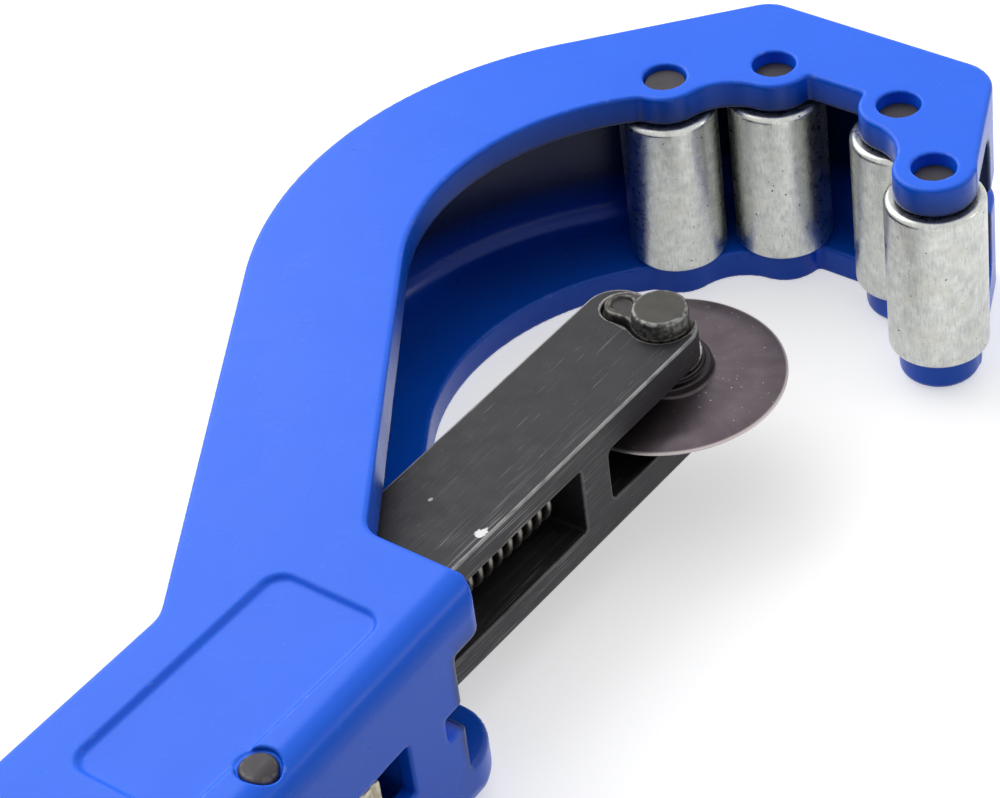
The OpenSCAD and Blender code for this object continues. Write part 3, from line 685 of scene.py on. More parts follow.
def slide_grid(back, tip, fork, bridge):
    """Lines of the slide's grid, close together beside its edges and round the clip's pocket."""
    fine, middling, coarse, pad, rim = 0.14, 0.24, 1.2, 0.4, 0.8
    pocket_back, nose, pocket_front = WHEEL_X - 7, WHEEL_X - 5.2, WHEEL_X + 1
    x = edge_lines(back, tip, fine, coarse, fork, bridge, pocket_back, pocket_front)
    x = np.unique(np.concatenate([x[x < nose - 0.1], lines((nose, tip + 0.5, 0.2))]).round(3))
    stops = (-SLIDE_HALF - pad, rim - SLIDE_HALF, SLIDE_HALF - rim, SLIDE_HALF + pad)
    y = lines(*zip(stops, stops[1:], (fine, middling, fine)))
    z = edge_lines(MID - SLIDE_RISE, SLIDE_TOP, fine, 0.9, MID - CHANNEL_H / 2, MID - FORK_GAP / 2,
                   MID + FORK_GAP / 2, MID + CHANNEL_H / 2, SLIDE_TOP - CLIP_SINK)
    return x, y, z


def slide():
    back, tip = box("slide")[0][0], box("slide")[1][0]
    fork, bridge = WHEEL_X - FORK_DEPTH, WHEEL_X - FORK_DEPTH - BRIDGE
    x, y, z = slide_grid(back, tip, fork, bridge)
    gx, gy, gz = mesh_grid(x, y, z)
    rise = np.abs(gz - MID)
    plan = rounded([((back, -SLIDE_HALF), 0), ((tip, -SLIDE_HALF), ARM_R), ((tip, SLIDE_HALF), ARM_R),
                    ((back, SLIDE_HALF), 0)])
    body = both(column(plan, x, y), rise - SLIDE_RISE, SLIDE_EDGE_R)
    body = cut(body, both(fork - gx, rise - FORK_GAP / 2, FORK_R), SLIDE_EDGE_R)
    channel = both(gx - bridge, rise - CHANNEL_H / 2, CHANNEL_R)
    channel = both(channel, gy - SLIDE_HALF + CHANNEL_WALL, CHANNEL_R)
    body = cut(body, channel, SLIDE_EDGE_R)
    bore, behind, ahead = off_screw(gy, gz) - SPIGOT_R - RUNNING_GAP, 1.0, 1.2
    body = cut(body, np.maximum(bore, slab(gx, bridge - behind, fork + ahead)), BORE_EDGE_R)
    body = cut(body, around(WHEEL, gx, gy) - AXLE_R, AXLE_EDGE_R)
    pocket = both(clip_distance(gx, gy, POCKET_PLAY), SLIDE_TOP - CLIP_SINK - gz, POCKET_R)
    return solid("slide_body", cut(body, pocket, POCKET_EDGE_R), x, y, z, reach=0.16)


def pin_clip():
    low, high = box("pin_clip")
    pad, step, edge_r, bore_r, seat_r, neck_r = 0.4, 0.13, 0.3, 0.1, 0.05, 0.12
    x, y = (lines((low[k] - pad, high[k] + pad, step)) for k in range(2))
    z = lines((low[2] - edge_r, high[2] + edge_r, 0.12))
    gx, gy, gz = mesh_grid(x, y, z)
    away = around(WHEEL, gx, gy)
    top = high[2] - TAB_DROP * fade(gy, WHEEL[1] + DROP_START, WHEEL[1] + CLIP_LEN)
    body = both(clip_distance(gx, gy, 0), slab(gz, low[2], top), edge_r)
    dish = np.hypot(gx - WHEEL_X, (gy - WHEEL[1] - DISH)) - DISH_R
    body = cut(body, both(dish, high[2] - DISH_DEPTH - gz, edge_r), edge_r)
    body = cut(body, away - AXLE_R, bore_r)
    seat = both(away - HEAD_R, SLIDE_TOP - gz, seat_r)
    return solid("pin_clip_body", cut(body, seat, neck_r), x, y, z, reach=0.14)


def cutter_wheel():
    low, high = box("cutter_wheel")
    half, rim = (high[2] - low[2]) / 2, (high[0] - low[0]) / 2
    inner_r, outer_r, foot_r, cutting_r = 0.15, 0.3, 0.5, 0.05
    upper = [
        ((AXLE_R + RUNNING_GAP, half), inner_r),
        ((HUB_R - HUB_STEP, half), outer_r),
        ((HUB_R - HUB_STEP, half - HUB_DROP), inner_r),
        ((HUB_R, half - HUB_DROP), outer_r),
        ((HUB_R, HUB_FOOT), foot_r),
        ((rim - BEVEL_W, BEVEL_HALF), BEVEL_R),
        ((rim, CUTTING_HALF), cutting_r),
    ]
    lower = [((r, -z), rounding) for (r, z), rounding in upper]
    return turned("wheel", lower + upper[::-1], tuple(WHEEL), sides=160)


def wheel_washers():
    low, high = box("wheel_washers")
    r, bore_r, edge_r, pieces = (high[0] - low[0]) / 2, 0.1, 0.2, []
    for side, (a, b) in (("low", (low[2], low[2] + WASHER)), ("high", (high[2] - WASHER, high[2]))):
        corners = ring_corners(AXLE_R, r, a, b, bore_r, edge_r)
        pieces.append(turned(f"washer_{side}", corners, (WHEEL_X, WHEEL[1], 0)))
    return pieces


def wheel_pin():
    low, high = box("wheel_pin")
    end_r, under_r, rim = 0.4, 0.15, 0.8
    corners = [
        ((0, low[2]), 0),
        ((AXLE_R, low[2]), end_r),
        ((AXLE_R, SLIDE_TOP), 0),
        ((HEAD_R, SLIDE_TOP), under_r),
        ((HEAD_R, high[2]), HEAD_EDGE_R),
        ((HEAD_R - rim, high[2]), 0),
        ((0, high[2]), 0),
    ]
    return turned("wheel_pin_body", corners, (WHEEL_X, WHEEL[1], 0))


# Screw, springs and knob


def feed_screw():
    """A screw turned from its radius along and around, with a true helical thread behind the spigot."""
    low, high = box("feed_screw")
    start, root = box("spring_seat")[0][0], SCREW_R - THREAD_DEPTH
    grip = box("knob")[1][0]
    sides, step, end_r, runout = 48, PITCH / 12, 0.4, 1.2 * PITCH
    thread = np.arange(start - step, grip, -step)[::-1]
    tail, spigot = [low[0], low[0], low[0] + end_r], [start, start, high[0] - end_r, high[0], high[0]]
    x = np.concatenate([tail, thread, spigot])
    angle = 2 * math.pi * np.arange(sides) / sides
    phase = (x[:, None] / PITCH - angle[None] / (2 * math.pi)) % 1
    crest_share, flank_share = 0.15, 0.2
    tooth = np.clip((np.abs(phase - 0.5) - crest_share) / flank_share, 0, 1)
    tooth = tooth * fade(start - x, 0, runout)[:, None] + fade(x, start - runout, start)[:, None]
    r = SCREW_R - THREAD_DEPTH * tooth
    r[x < grip] = SCREW_R
    r[0], r[1], r[2] = 0, SCREW_R - end_r, SCREW_R
    r[-5] = root
    r[-4:] = np.array([SPIGOT_R, SPIGOT_R, SPIGOT_R - end_r, 0])[:, None]
    points = np.stack([x[:, None] + 0 * r, r * np.cos(angle), MID + r * np.sin(angle)], -1)
    piece = make_mesh("screw", points.reshape(-1, 3), tube_faces(len(x), sides, False))
    keep(piece, "wear", np.clip((r.ravel() - root) / THREAD_DEPTH, 0, 1) ** 3 * (r.ravel() > SPIGOT_R))
    close_up(piece)
    return piece


def feed_spring():
    """A coil of wire between two faces, which runs straight out of each face."""
    length, far = size("feed_spring")[0], box("feed_spring")[1][0]
    r, bow, sides, steps = (FEED_SPRING_D - FEED_WIRE) / 2, FEED_WIRE / 2, 12, 28
    rise = length - 2 * (FEED_WIRE + bow)
    turns = rise / FEED_COIL_PITCH
    last = 2 * math.pi * turns
    coil = last * np.linspace(0, 1, math.ceil(turns * steps) + 1)[1:-1]
    quarter = np.radians(np.linspace(0, 90, 6))
    rows = [(0, 0, -bow)]
    rows += [(FEED_WIRE + bow * math.sin(t), 0, -bow * math.cos(t)) for t in quarter]
    rows += [(FEED_WIRE + bow + rise * a / coil[-1], a, 0) for a in coil]
    rows += [(length - FEED_WIRE - bow * math.cos(t), last, bow * math.sin(t)) for t in quarter]
    back, turn, ahead = np.array(rows + [(length, last, bow)]).T
    out = np.stack([0 * turn, np.cos(turn), -np.sin(turn)], 1)
    spots = r * out + ahead[:, None] * np.stack([0 * turn, -np.sin(turn), -np.cos(turn)], 1)
    spots += np.stack([far - back, 0 * turn, MID + 0 * turn], 1)
    along = np.gradient(spots, axis=0)
    along[0] = along[-1] = (-1, 0, 0)
    beside = np.cross(along, out)
    beside /= np.linalg.norm(beside, axis=1, keepdims=True)
    angle = (2 * math.pi * np.arange(sides) / sides)[None, :, None]
    ring = np.cos(angle) * out[:, None] + np.sin(angle) * beside[:, None]
    points = (spots[:, None] + FEED_WIRE / 2 * ring).reshape(-1, 3)
    piece = make_mesh("feed_spring_wire", points, tube_faces(len(spots), sides, False))
    made = bmesh.new()
    made.from_mesh(piece.data)
    bmesh.ops.holes_fill(made, edges=[e for e in made.edges if e.is_boundary])
    bmesh.ops.recalc_face_normals(made, faces=made.faces)
    made.to_mesh(piece.data)
    made.free()
    keep(piece, "wear", np.zeros(len(points)))
    piece.data.shade_smooth()
    return piece


def lengthwise(node, corners):
    """A piece turned round the line of the feed screw."""
    return turned(f"{node}_body", corners, (0, 0, MID), "x")


def ring_along(node, bore, inner, outer):
    low, high = box(node)
    return lengthwise(node, ring_corners(bore, (high[1] - low[1]) / 2, low[0], high[0], inner, outer))


def knob():
    low, high = box("knob")
    pad, step, joint, overlap = 0.8, 0.42, high[0] - KNOB_COLLAR, 2
    x = edge_lines(low[0], high[0], 0.25, 1.0, joint, low[0] + 2, reach=3)
    y = lines((-KNOB_R - pad, KNOB_R + pad, step))
    z = lines((MID - KNOB_R - pad, MID + KNOB_R + pad, step))
    gx, gy, gz = mesh_grid(x, y, z)
    away = off_screw(gy, gz)
    grip = both(away - KNOB_R, slab(gx, low[0], joint), KNOB_END_R)
    angle, pitch = np.arctan2(gz - MID, gy), 2 * math.pi / FLUTES
    nearest = angle - pitch * np.round(angle / pitch)
    out = KNOB_R + FLUTE_R - FLUTE_DEPTH
    flute = np.hypot(away * np.cos(nearest) - out, away * np.sin(nearest)) - FLUTE_R
    grip = cut(grip, flute, FLUTE_EDGE_R)
    collar = both(away - KNOB_COLLAR_R, slab(gx, joint - overlap, high[0]), COLLAR_END_R)
    body = joined(grip, collar, COLLAR_ROOT_R)
    recess = np.maximum(away - size("knob_cap")[1] / 2, gx - box("knob_cap")[1][0])
    body = cut(body, recess, RECESS_EDGE_R)
    grip_end = box("feed_screw")[0][0]
    body = cut(body, np.maximum(away - SCREW_R, grip_end - gx), SCREW_HOLE_EDGE_R)
    cross_x, cross_r = centre("knob_pin")[0], size("knob_pin")[0] / 2
    body = cut(body, np.hypot(gx - cross_x, gy) - cross_r, CROSS_HOLE_EDGE_R)
    return solid("knob_body", body, x, y, z, reach=0.3)


def knob_cap():
    low, high = box("knob_cap")
    r, edge_r = (high[1] - low[1]) / 2, 0.3
    corners = [((0, low[0]), 0), ((r, low[0]), edge_r), ((r, high[0]), edge_r), ((0, high[0]), 0)]
    return lengthwise("knob_cap", corners)


def knob_pin():
    low, high = box("knob_pin")
    corners = disc_corners((high[0] - low[0]) / 2, low[2], high[2], PIN_END_R)
    return upright("knob_pin_body", "knob_pin", corners, sides=48)


# Release lever


def release_lever():
    low, high = box("release_lever")
    step, coarse, pad, near = 0.2, 0.6, 0.5, 5
    edge_r, neck_r, rib_r, face_r, bore_r = 0.6, 0.8, 0.15, 0.4, 0.3
    x = lines((low[0] - pad, PIVOT[0] - near, coarse), (PIVOT[0] - near, PIVOT[0] + near, step),
              (PIVOT[0] + near, high[0] + pad, step))
    y = lines((low[1] - pad, high[1] + pad, step))
    z = edge_lines(low[2], high[2], 0.13, 0.8)
    gx, gy, gz = mesh_grid(x, y, z)
    away = around(PIVOT, gx, gy)
    arm = both(slab(gx, low[0], PIVOT[0]), slab(gy, PIVOT[1], high[1]), edge_r)
    thumb = both(slab(gx, PIVOT[0], high[0]), slab(gy, low[1], high[1]), edge_r)
    plan = joined(joined(away - EYE_R, arm, neck_r), thumb, neck_r)
    ribs = np.hypot(gx - RIB_PITCH * np.round(gx / RIB_PITCH), gy - low[1] + RIB_SINK) - RIB_R
    plan = cut(plan, np.maximum(ribs, PIVOT[0] + RIB_START - gx), rib_r)
    body = both(plan, slab(gz, low[2], high[2]), face_r)
    body = cut(body, away - LEVER_PIN_R - RUNNING_GAP, bore_r)
    return solid("lever_body", body, x, y, z, reach=0.18)


def half_nut():
    low, high = box("half_nut")
    pad, step, edge_r, thread_r = 0.4, 0.2, 0.3, 0.15
    x, y, z = (lines((low[k] - pad, high[k] + pad, step)) for k in range(3))
    gx, gy, gz = mesh_grid(x, y, z)
    block = both(slab(gx, low[0], high[0]), slab(gy, low[1], high[1]), edge_r)
    block = both(block, slab(gz, low[2], high[2]), edge_r)
    turn = gx / PITCH - np.arctan2(gz - MID, gy) / (2 * math.pi)
    thread = off_screw(gy, gz) - NUT_BORE_R + NUT_GROOVE * np.cos(2 * math.pi * turn) + NUT_GROOVE
    return solid("half_nut_body", cut(block, thread, thread_r), x, y, z, reach=0.18)


# Materials

CHIPS = [((45.8, -7.5), 1.0, 0.95), ((44.0, 2.0), 0.4, 0.5)]
CHIP_STRETCH = np.array([1.0, 1.6, 1.0])


def put(tree, socket, value):
    """Sets a socket to a value, or links it to another node's output."""
    if isinstance(value, bpy.types.NodeSocket):
        tree.links.new(value, socket)
    else:
        socket.default_value = value


def add_node(tree, kind, inputs=(), **settings):
    """A node with its settings, and with its inputs set to values or linked."""
    node = tree.nodes.new(kind)
    for name, value in settings.items():
        setattr(node, name, value)
    for socket, value in dict(inputs).items():
        put(tree, node.inputs[socket], value)
    return node


class Looks:
    """Builds one material's nodes. Lengths are in millimetres on the piece itself."""

    def __init__(self, name):
        self.material = bpy.data.materials.new(name)
        self.material.use_nodes = True
        self.tree = self.material.node_tree
        self.shader = self.tree.nodes["Principled BSDF"]
        place = self.add("ShaderNodeTexCoord").outputs["Object"]
        self.place = self.vector("MULTIPLY", place, (1 / MM,) * 3)

    def add(self, kind, inputs=(), **settings):
        return add_node(self.tree, kind, inputs, **settings)

    def vector(self, operation, a, b):
        outputs = self.add("ShaderNodeVectorMath", {0: a, 1: b}, operation=operation).outputs
        return outputs["Value" if operation in ("LENGTH", "DISTANCE") else "Vector"]

    def math(self, operation, a, b=0.0):
        return self.add("ShaderNodeMath", {0: a, 1: b}, operation=operation).outputs[0]

    def times(self, a, b):
        return self.math("MULTIPLY", a, b)

    def split(self, place):
        """A place's three coordinates."""
        return self.add("ShaderNodeSeparateXYZ", {0: place}).outputs

    def noise(self, grain, detail=3.0, stretch=(1, 1, 1), shift=0.0, distortion=0.0, span=(), to=(0, 1)):
        """Noise whose patches are about one grain across, or longer along stretched axes.

        With a span, the noise's values from its first to its second number become those of to.
        """
        place = self.vector("ADD", self.place, (shift, shift * 2, shift * 3))
        place = self.vector("DIVIDE", place, tuple(grain * s for s in stretch))
        inputs = {"Vector": place, "Scale": 1.0, "Detail": detail, "Distortion": distortion}
        value = self.add("ShaderNodeTexNoise", inputs).outputs["Fac"]
        return self.step(value, *span, *to) if span else value

    def step(self, value, first, last, low=0.0, high=1.0):
        """Low up to first, high from last on, and a slope between."""
        inputs = {"Value": value, "From Min": first, "From Max": last, "To Min": low, "To Max": high}
        return self.add("ShaderNodeMapRange", inputs).outputs[0]

    def base(self, share, first, second):
        """Starts the colour as a mix of two."""
        inputs = {"Factor": share, "A": first, "B": second}
        self.colour = self.add("ShaderNodeMix", inputs, data_type="RGBA").outputs["Result"]

    def coat(self, share, colour):
        """Covers a share of the colour so far with another."""
        self.base(share, self.colour, colour)

    def kept(self, name):
        return self.add("ShaderNodeAttribute", attribute_name=name).outputs["Fac"]

    def bump(self, *layers):
        """Bumps from layers (height, strength, depth)."""
        below = {}
        for height, strength, depth in layers:
            inputs = {"Height": height, "Strength": strength, "Distance": depth * MM, **below}
            below = {"Normal": self.add("ShaderNodeBump", inputs).outputs["Normal"]}
        put(self.tree, self.shader.inputs["Normal"], below["Normal"])

    def finish(self, rough, **sockets):
        """The material, with its colour, its roughness and its other settings."""
        sockets = {"Base_Color": self.colour, "Roughness": rough, **sockets}
        for name, value in sockets.items():
            put(self.tree, self.shader.inputs[name.replace("_", " ")], value)
        return self.material


def on_object(place):
    """A place of the plan in the coordinates that a material reads."""
    return np.array(place) + ORIGIN / MM


def rgb(red, green, blue):
    """A colour as it is seen on a screen, for a shader's socket."""
    parts = [c / 255 for c in (red, green, blue)]
    return (*[c / 12.92 if c < 0.04045 else ((c + 0.055) / 1.055) ** 2.4 for c in parts], 1.0)


def paint():
    """Blue paint, worn a little along its edges, with painted shade darkening the wall of the jaw's
    hollow.
    """
    look = Looks("painted_casting")
    look.base(look.noise(9, 2), rgb(4, 100, 244), rgb(8, 106, 252))
    specks = look.noise(0.5, 2, shift=4, span=(0.74, 0.78), to=(0, 0.4))
    look.coat(specks, rgb(20, 50, 160))
    worn = look.noise(1.6, 4, shift=7, span=(0.6, 0.7), to=(0, 0.4))
    worn = look.times(look.step(look.kept("wear"), 0.3, 0.9), worn)
    look.coat(worn, rgb(120, 150, 235))
    # Painted shade: the web inside the jaw's hollow darkens from just above the lower flange upwards,
    # standing in for the shade under the top flange
    height = look.split(look.place)["Z"]
    web_shade = look.step(height, FLANGE + 1, FLANGE + 8, 0.1, 0.9)
    look.coat(look.times(look.kept("hollow"), web_shade), rgb(3, 8, 34))
    look.bump((look.noise(1.1, 2), 0.12, 0.05), (look.noise(8, 1, shift=3), 0.2, 0.2))
    rough = look.noise(12, 3, shift=9, span=(0, 1), to=(0.2, 0.36))
    return look.finish(rough, Specular_IOR_Level=0.3)


def zinc():
    """Zinc plate: cloudy, drawn along the roller, with yellowish stains and a few dark pits."""
    look = Looks("zinc_plate")
    cloud, grain = look.noise(1.5, 4), look.noise(0.28, 3, shift=2)
    look.base(look.step(cloud, 0.3, 0.7), rgb(188, 190, 186), rgb(214, 216, 211))
    drawn = look.noise(0.3, 3, (1, 1, 5), shift=2, span=(0.5, 0.68), to=(0, 0.6))
    look.coat(drawn, rgb(168, 170, 168))
    stains = look.noise(3.5, 3, shift=11, span=(0.5, 0.66), to=(0, 0.4))
    look.coat(stains, rgb(200, 200, 188))
    pits = look.noise(0.75, 1, shift=5, span=(0.76, 0.79))
    look.coat(pits, rgb(66, 64, 58))
    look.bump((grain, 0.25, 0.04), (cloud, 0.2, 0.06), (pits, -0.4, 0.08))
    rough = look.noise(0.9, 3, shift=8, span=(0.3, 0.7), to=(0.24, 0.38))
    return look.finish(rough, Metallic=1.0)


def clip_steel():
    """Dark oxide over steel: cloudy, finely speckled, bare along its worn edges and scratches."""
    look = Looks("clip_steel")
    bare = rgb(120, 114, 106)
    look.base(look.noise(5, 4, span=(0.35, 0.68)), rgb(50, 48, 49), rgb(66, 62, 61))
    grain = look.noise(0.22, 3, shift=3)
    look.coat(look.step(grain, 0.62, 0.72, 0, 0.35), bare)
    worn = look.times(look.kept("wear"), look.noise(0.9, 4, shift=6, span=(0.38, 0.56)))
    fine = look.noise(0.16, 2, (130, 1, 1), shift=1, distortion=0.4, span=(0.66, 0.7))
    scratches = look.times(fine, look.noise(7, 2, (2.5, 1, 1), shift=14, span=(0.46, 0.6)))
    shine = look.math("MAXIMUM", worn, look.times(scratches, 0.3))
    look.coat(shine, bare)
    look.bump((grain, 0.25, 0.04), (scratches, -0.25, 0.03))
    rough = look.noise(2.5, 3, shift=8, span=(0.3, 0.7), to=(0.4, 0.54))
    return look.finish(rough, Metallic=0.4)


def slide_steel():
    """The slide's black oxide, with scratches along the right of its top, light edges and two chips."""
    look = Looks("blackened_steel")
    wheel = tuple(on_object(WHEEL))
    x, y, z = look.split(look.place)
    look.base(look.noise(5, 4), rgb(30, 29, 33), rgb(44, 42, 46))
    grain = look.noise(0.2, 3, shift=3)
    look.coat(look.step(grain, 0.6, 0.76, 0, 0.25), rgb(104, 100, 100))
    top = look.step(z, SLIDE_TOP - 1.2, SLIDE_TOP - 0.7, 0.25, 1.0)
    worn = look.times(look.step(look.kept("wear"), 0.35, 0.8), top)
    worn = look.times(worn, look.noise(0.8, 4, (4, 1, 1), shift=6, span=(0.3, 0.5), to=(0.3, 0.9)))
    worn = look.times(worn, look.step(look.vector("DISTANCE", look.place, wheel), 9, 11.5, 0.3, 1))
    rear = look.step(x, wheel[0] - 14, wheel[0] - 34)
    right = look.step(y, wheel[1], wheel[1] - 6, 0.06, 1.0)
    area = look.times(look.noise(2.4, 2, (5, 1, 1), shift=14, span=(0.36, 0.6)), rear)
    fine = look.noise(0.1, 1, (110, 1, 1), shift=1, distortion=0.15, span=(0.6, 0.68))
    few = look.noise(0.1, 0, (50, 1, 1), shift=21, distortion=0.8, span=(0.78, 0.84), to=(0, 0.4))
    scratches = look.math("MAXIMUM", look.times(fine, look.times(area, right)), few)
    look.coat(look.math("MAXIMUM", worn, scratches), rgb(166, 164, 164))
    place = look.vector("MULTIPLY", look.place, tuple(CHIP_STRETCH))
    for (back, side), r, share in CHIPS:
        spot = on_object((WHEEL_X - back, side, SLIDE_TOP)) * CHIP_STRETCH
        away = look.vector("DISTANCE", place, tuple(spot))
        ragged = look.math("ADD", away, look.noise(0.8, 2, shift=17, span=(0.3, 0.7), to=(-r / 3, r / 3)))
        chip = look.step(ragged, r + 0.1, r - 0.15, 0, share)
        look.coat(chip, rgb(222, 222, 220))
    look.bump((grain, 0.2, 0.03), (scratches, -0.3, 0.02), (look.noise(1.2, 3, shift=2), 0.1, 0.05))
    rough = look.noise(2.5, 3, shift=8, span=(0.2, 0.8), to=(0.38, 0.54))
    return look.finish(rough, Metallic=0.35)


def wheel_steel():
    """Ground steel with faint rays and rings, a dark hub and a bare rim."""
    look = Looks("wheel_steel")
    rim = size("cutter_wheel")[0] / 2
    offset = look.vector("SUBTRACT", look.place, tuple(on_object(WHEEL)))
    away = look.vector("LENGTH", look.vector("MULTIPLY", offset, (1, 1, 0)), (0, 0, 0))
    plan = look.split(offset)
    angle = look.math("ARCTAN2", plan["Y"], plan["X"])
    rays = {2: look.times(away, 0.12)}
    for axis, operation in enumerate(("SINE", "COSINE")):
        rays[axis] = look.times(look.math(operation, angle), 9)
    rays = look.add("ShaderNodeCombineXYZ", rays).outputs[0]
    streak = look.add("ShaderNodeTexNoise", {"Vector": rays, "Scale": 1.0}).outputs["Fac"]
    look.base(streak, rgb(88, 79, 85), rgb(112, 102, 107))
    cloud = look.noise(4, 4)
    look.coat(look.step(cloud, 0.4, 0.7, 0, 0.5), rgb(84, 74, 80))
    look.coat(look.noise(0.45, 2, shift=5, span=(0.72, 0.76)), rgb(214, 208, 204))
    look.coat(look.step(away, HUB_R + 0.5, HUB_R - 0.1), rgb(52, 48, 50))
    look.coat(look.step(away, rim - 0.4, rim - 0.1), rgb(196, 186, 186))
    rings = {"W": look.times(away, 9), "Scale": 1.0}
    rings = look.add("ShaderNodeTexNoise", rings, noise_dimensions="1D").outputs["Fac"]
    look.bump((rings, 0.2, 0.02), (look.noise(0.25, 2, shift=9), 0.15, 0.03))
    rough = look.step(cloud, 0.3, 0.7, 0.32, 0.44)
    return look.finish(rough, Metallic=0.85)


def plastic(name, dark, light):
    look = Looks(name)
    look.base(look.noise(4, 3, span=(0.35, 0.7)), dark, light)
    scuffs = look.times(look.kept("wear"), look.noise(0.8, 4, shift=5, span=(0.5, 0.62), to=(0, 0.5)))
    look.coat(scuffs, rgb(112, 112, 114))
    look.bump((look.noise(0.35, 2, shift=2), 0.35, 0.05))
    rough = look.noise(6, 3, shift=8, span=(0.3, 0.7), to=(0.42, 0.58))
    return look.finish(rough)


def plain_metal(name, dark, light, rough, metal=1.0, edge=0.6):
    """Machined or drawn metal: fine grain, faint stains, and edges worn brighter."""
    look = Looks(name)
    look.base(look.noise(1.8, 4), dark, light)
    grain = look.noise(0.2, 3, shift=3)
    look.coat(look.step(grain, 0.4, 0.7, 0, 0.3), dark)
    worn = look.noise(0.7, 4, shift=6, span=(0.4, 0.56), to=(0, edge))
    worn = look.times(look.step(look.kept("wear"), 0.3, 0.9), worn)
    look.coat(worn, (*[0.2 + c for c in light[:3]], 1.0))
    look.bump((grain, 0.25, 0.04), (look.noise(0.9, 2, shift=7), 0.12, 0.05))
    rough = look.noise(1.2, 3, shift=8, span=(0.2, 0.8), to=(rough, rough + 0.16))
    return look.finish(rough, Metallic=metal)


def materials():
    made = {
        "painted_casting": paint(),
        "zinc_plate": zinc(),
        "blackened_steel": slide_steel(),
        "wheel_steel": wheel_steel(),
        "clip_steel": clip_steel(),
        "black_plastic": plastic("black_plastic", rgb(26, 26, 28), rgb(36, 36, 38)),
        "cap_plastic": plastic("cap_plastic", rgb(58, 60, 66), rgb(72, 74, 80)),
    }
    metals = (
        ("dark_pin", (66, 63, 66), (80, 77, 80), 0.42, 0.8, 0.2),
        ("pin_steel", (70, 69, 66), (82, 81, 76), 0.42, 0.8, 0.9),
        ("plain_steel", (128, 126, 124), (164, 162, 158), 0.3),
        ("spring_steel", (120, 117, 110), (164, 160, 152), 0.3),
        ("screw_steel", (150, 150, 148), (190, 188, 184), 0.24),
        ("bronze", (150, 108, 52), (190, 146, 80), 0.28),
        ("bare_lever", (150, 142, 122), (180, 172, 150), 0.4),
    )
    for name, dark, light, *finish in metals:
        made[name] = plain_metal(name, rgb(*dark), rgb(*light), *finish)
    return made


# Putting it together


def pieces():
    """Each piece with the body it rides on, the node that it stands for, and its material slot."""
    found = [(casting(), "casting", "frame", "painted_casting")]
    for i in range(1, 5):
        found.append((roller(i), f"roller_{i}", f"roller_{i}", "zinc_plate"))
        found.append((roller_pin(i), "casting", f"roller_pin_{i}", "dark_pin"))
    found += [
        (lever_pin(), "casting", "lever_pin", "dark_pin"),
        (slide(), "slide", "slide", "blackened_steel"),
        (pin_clip(), "slide", "pin_clip", "clip_steel"),
        (wheel_pin(), "slide", "wheel_pin", "pin_steel"),
        (cutter_wheel(), "wheel", "cutter_wheel", "wheel_steel"),
        (feed_screw(), "screw", "feed_screw", "screw_steel"),
        (feed_spring(), "slide", "feed_spring", "spring_steel"),
        (knob(), "screw", "knob", "black_plastic"),
        (knob_cap(), "screw", "knob_cap", "cap_plastic"),
        (knob_pin(), "screw", "knob_pin", "plain_steel"),
        (release_lever(), "lever", "release_lever", "bare_lever"),
        (half_nut(), "lever", "half_nut", "bronze"),
    ]
    found += [(washer, "slide", "wheel_washers", "plain_steel") for washer in wheel_washers()]
    rings = (
        ("spring_seat", "screw", "plain_steel", SPIGOT_R, RING_ROUNDINGS),
        ("screw_ring", "screw", "plain_steel", SPIGOT_R, RING_ROUNDINGS),
        ("screw_bush", "casting", "bronze", SCREW_R + RUNNING_GAP, BUSH_ROUNDINGS),
    )
    for node, body, slot, bore, roundings in rings:
        found.append((ring_along(node, bore, *roundings), body, node, slot))
    return found


def paint_with(piece, material):
    piece.data.materials.clear()
    piece.data.materials.append(material)


def dress():
    looks = materials()
    for piece, body, node, slot in pieces():
        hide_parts(node)
        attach(piece, body)
        paint_with(piece, looks[slot])
    paint_with(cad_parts["lever_spring"], looks["spring_steel"])


# Floor, light and camera, with places in metres and angles in degrees

TARGET = (0.0555, 0.0013, 0.0175)
DISTANCE = 0.461
AZIMUTH, ELEVATION, ROLL = 42.253, 39.474, 7.939
FOCAL_PIXELS, IMAGE_WIDTH, SENSOR = 3412.0, 1000, 36.0
WORLD_SIDE, WORLD_START, WORLD_LEVEL = (0.4, 0.5, 0.77), 0.1, 1.45
FLOOR_HALF, FLOOR_COLOUR, FLOOR_GLOW = 1.6, (0.66, 0.66, 0.67, 1), 0.56
LAMPS = (("key", (0.2, 0.58, 0.62), 0.8, 3.4), ("edge", (0.42, -0.5, 0.36), 0.12, 0.18))


def seen(tree):
    """1 for rays that show a background directly or in a reflection, and 0 for light on the object."""
    path = add_node(tree, "ShaderNodeLightPath").outputs
    total = path["Is Camera Ray"]
    for name in ("Is Glossy Ray", "Is Transmission Ray"):
        inputs = {0: total, 1: path[name]}
        total = add_node(tree, "ShaderNodeMath", inputs, operation="MAXIMUM").outputs[0]
    return total


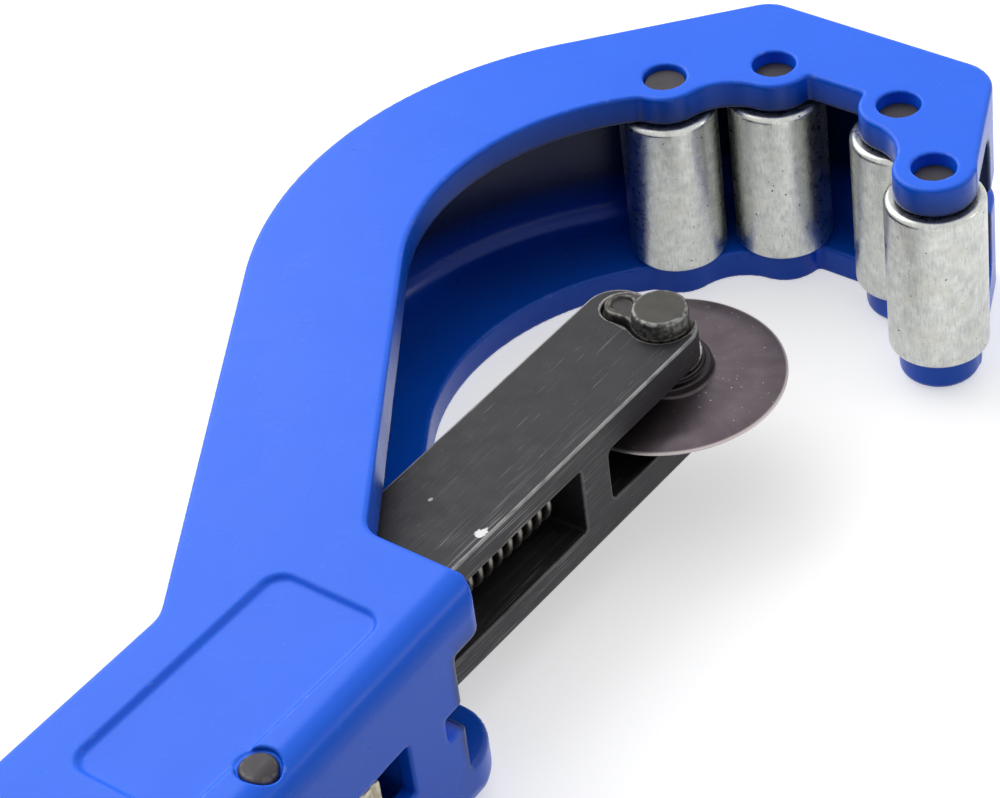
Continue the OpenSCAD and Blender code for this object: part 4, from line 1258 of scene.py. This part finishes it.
def floor():
    """A pale floor that keeps the object's shadow, and adds a glow where it is seen."""
    mesh = bpy.data.meshes.new("floor")
    corners = [(FLOOR_HALF * x, FLOOR_HALF * y, 0) for x, y in ((-1, -1), (1, -1), (1, 1), (-1, 1))]
    mesh.from_pydata(corners, [], [(0, 1, 2, 3)])
    piece = add_object("floor", mesh)
    material = bpy.data.materials.new("floor")
    material.use_nodes = True
    tree = material.node_tree
    tree.nodes.clear()
    diffuse = add_node(tree, "ShaderNodeBsdfDiffuse", {"Color": FLOOR_COLOUR})
    strength = add_node(tree, "ShaderNodeMath", {0: seen(tree), 1: FLOOR_GLOW}, operation="MULTIPLY")
    glow = add_node(tree, "ShaderNodeEmission", {"Strength": strength.outputs[0]})
    total = add_node(tree, "ShaderNodeAddShader", {0: diffuse.outputs[0], 1: glow.outputs[0]})
    add_node(tree, "ShaderNodeOutputMaterial", {"Surface": total.outputs[0]})
    mesh.materials.append(material)


def lamp(name, place, size, power):
    """A square soft lamp at a place in metres that points at the middle of the object."""
    data = bpy.data.lights.new(name, "AREA")
    data.shape = "SQUARE"
    data.size = size
    data.energy = power
    piece = add_object(name, data)
    piece.location = place
    aim = Vector(TARGET) - Vector(place)
    piece.rotation_euler = aim.to_track_quat("-Z", "Y").to_euler()


def lights():
    """Lamps, and a world that is bright behind and above the object, and white where it is seen."""
    for name, place, width, power in LAMPS:
        lamp(name, place, width, power)
    world = bpy.data.worlds.new("world")
    bpy.context.scene.world = world
    world.use_nodes = True
    tree = world.node_tree
    inputs = {0: add_node(tree, "ShaderNodeTexCoord").outputs["Generated"], 1: WORLD_SIDE}
    toward = add_node(tree, "ShaderNodeVectorMath", inputs, operation="DOT_PRODUCT").outputs["Value"]
    inputs = {"Value": toward, "From Min": WORLD_START, "To Max": WORLD_LEVEL}
    level = add_node(tree, "ShaderNodeMapRange", inputs).outputs[0]
    shown = add_node(tree, "ShaderNodeMix", {"Factor": seen(tree), "A": level, "B": 1.0})
    background = tree.nodes["Background"]
    put(tree, background.inputs["Color"], (1, 1, 1, 1))
    put(tree, background.inputs["Strength"], shown.outputs["Result"])


def camera():
    data = bpy.data.cameras.new("camera")
    data.sensor_width = SENSOR
    data.lens = FOCAL_PIXELS / IMAGE_WIDTH * SENSOR
    piece = add_object("camera", data)
    forward = Vector((*(math.cos(math.radians(ELEVATION)) * heading(AZIMUTH)),
                      -math.sin(math.radians(ELEVATION))))
    piece.matrix_world = (
        Matrix.Translation(Vector(TARGET) - DISTANCE * forward)
        @ forward.to_track_quat("-Z", "Y").to_matrix().to_4x4()
        @ Matrix.Rotation(math.radians(-ROLL), 4, "Z")
    )
    bpy.context.scene.camera = piece


dress()
floor()
lights()
camera()
bpy.context.scene.view_settings.view_transform = "Standard"
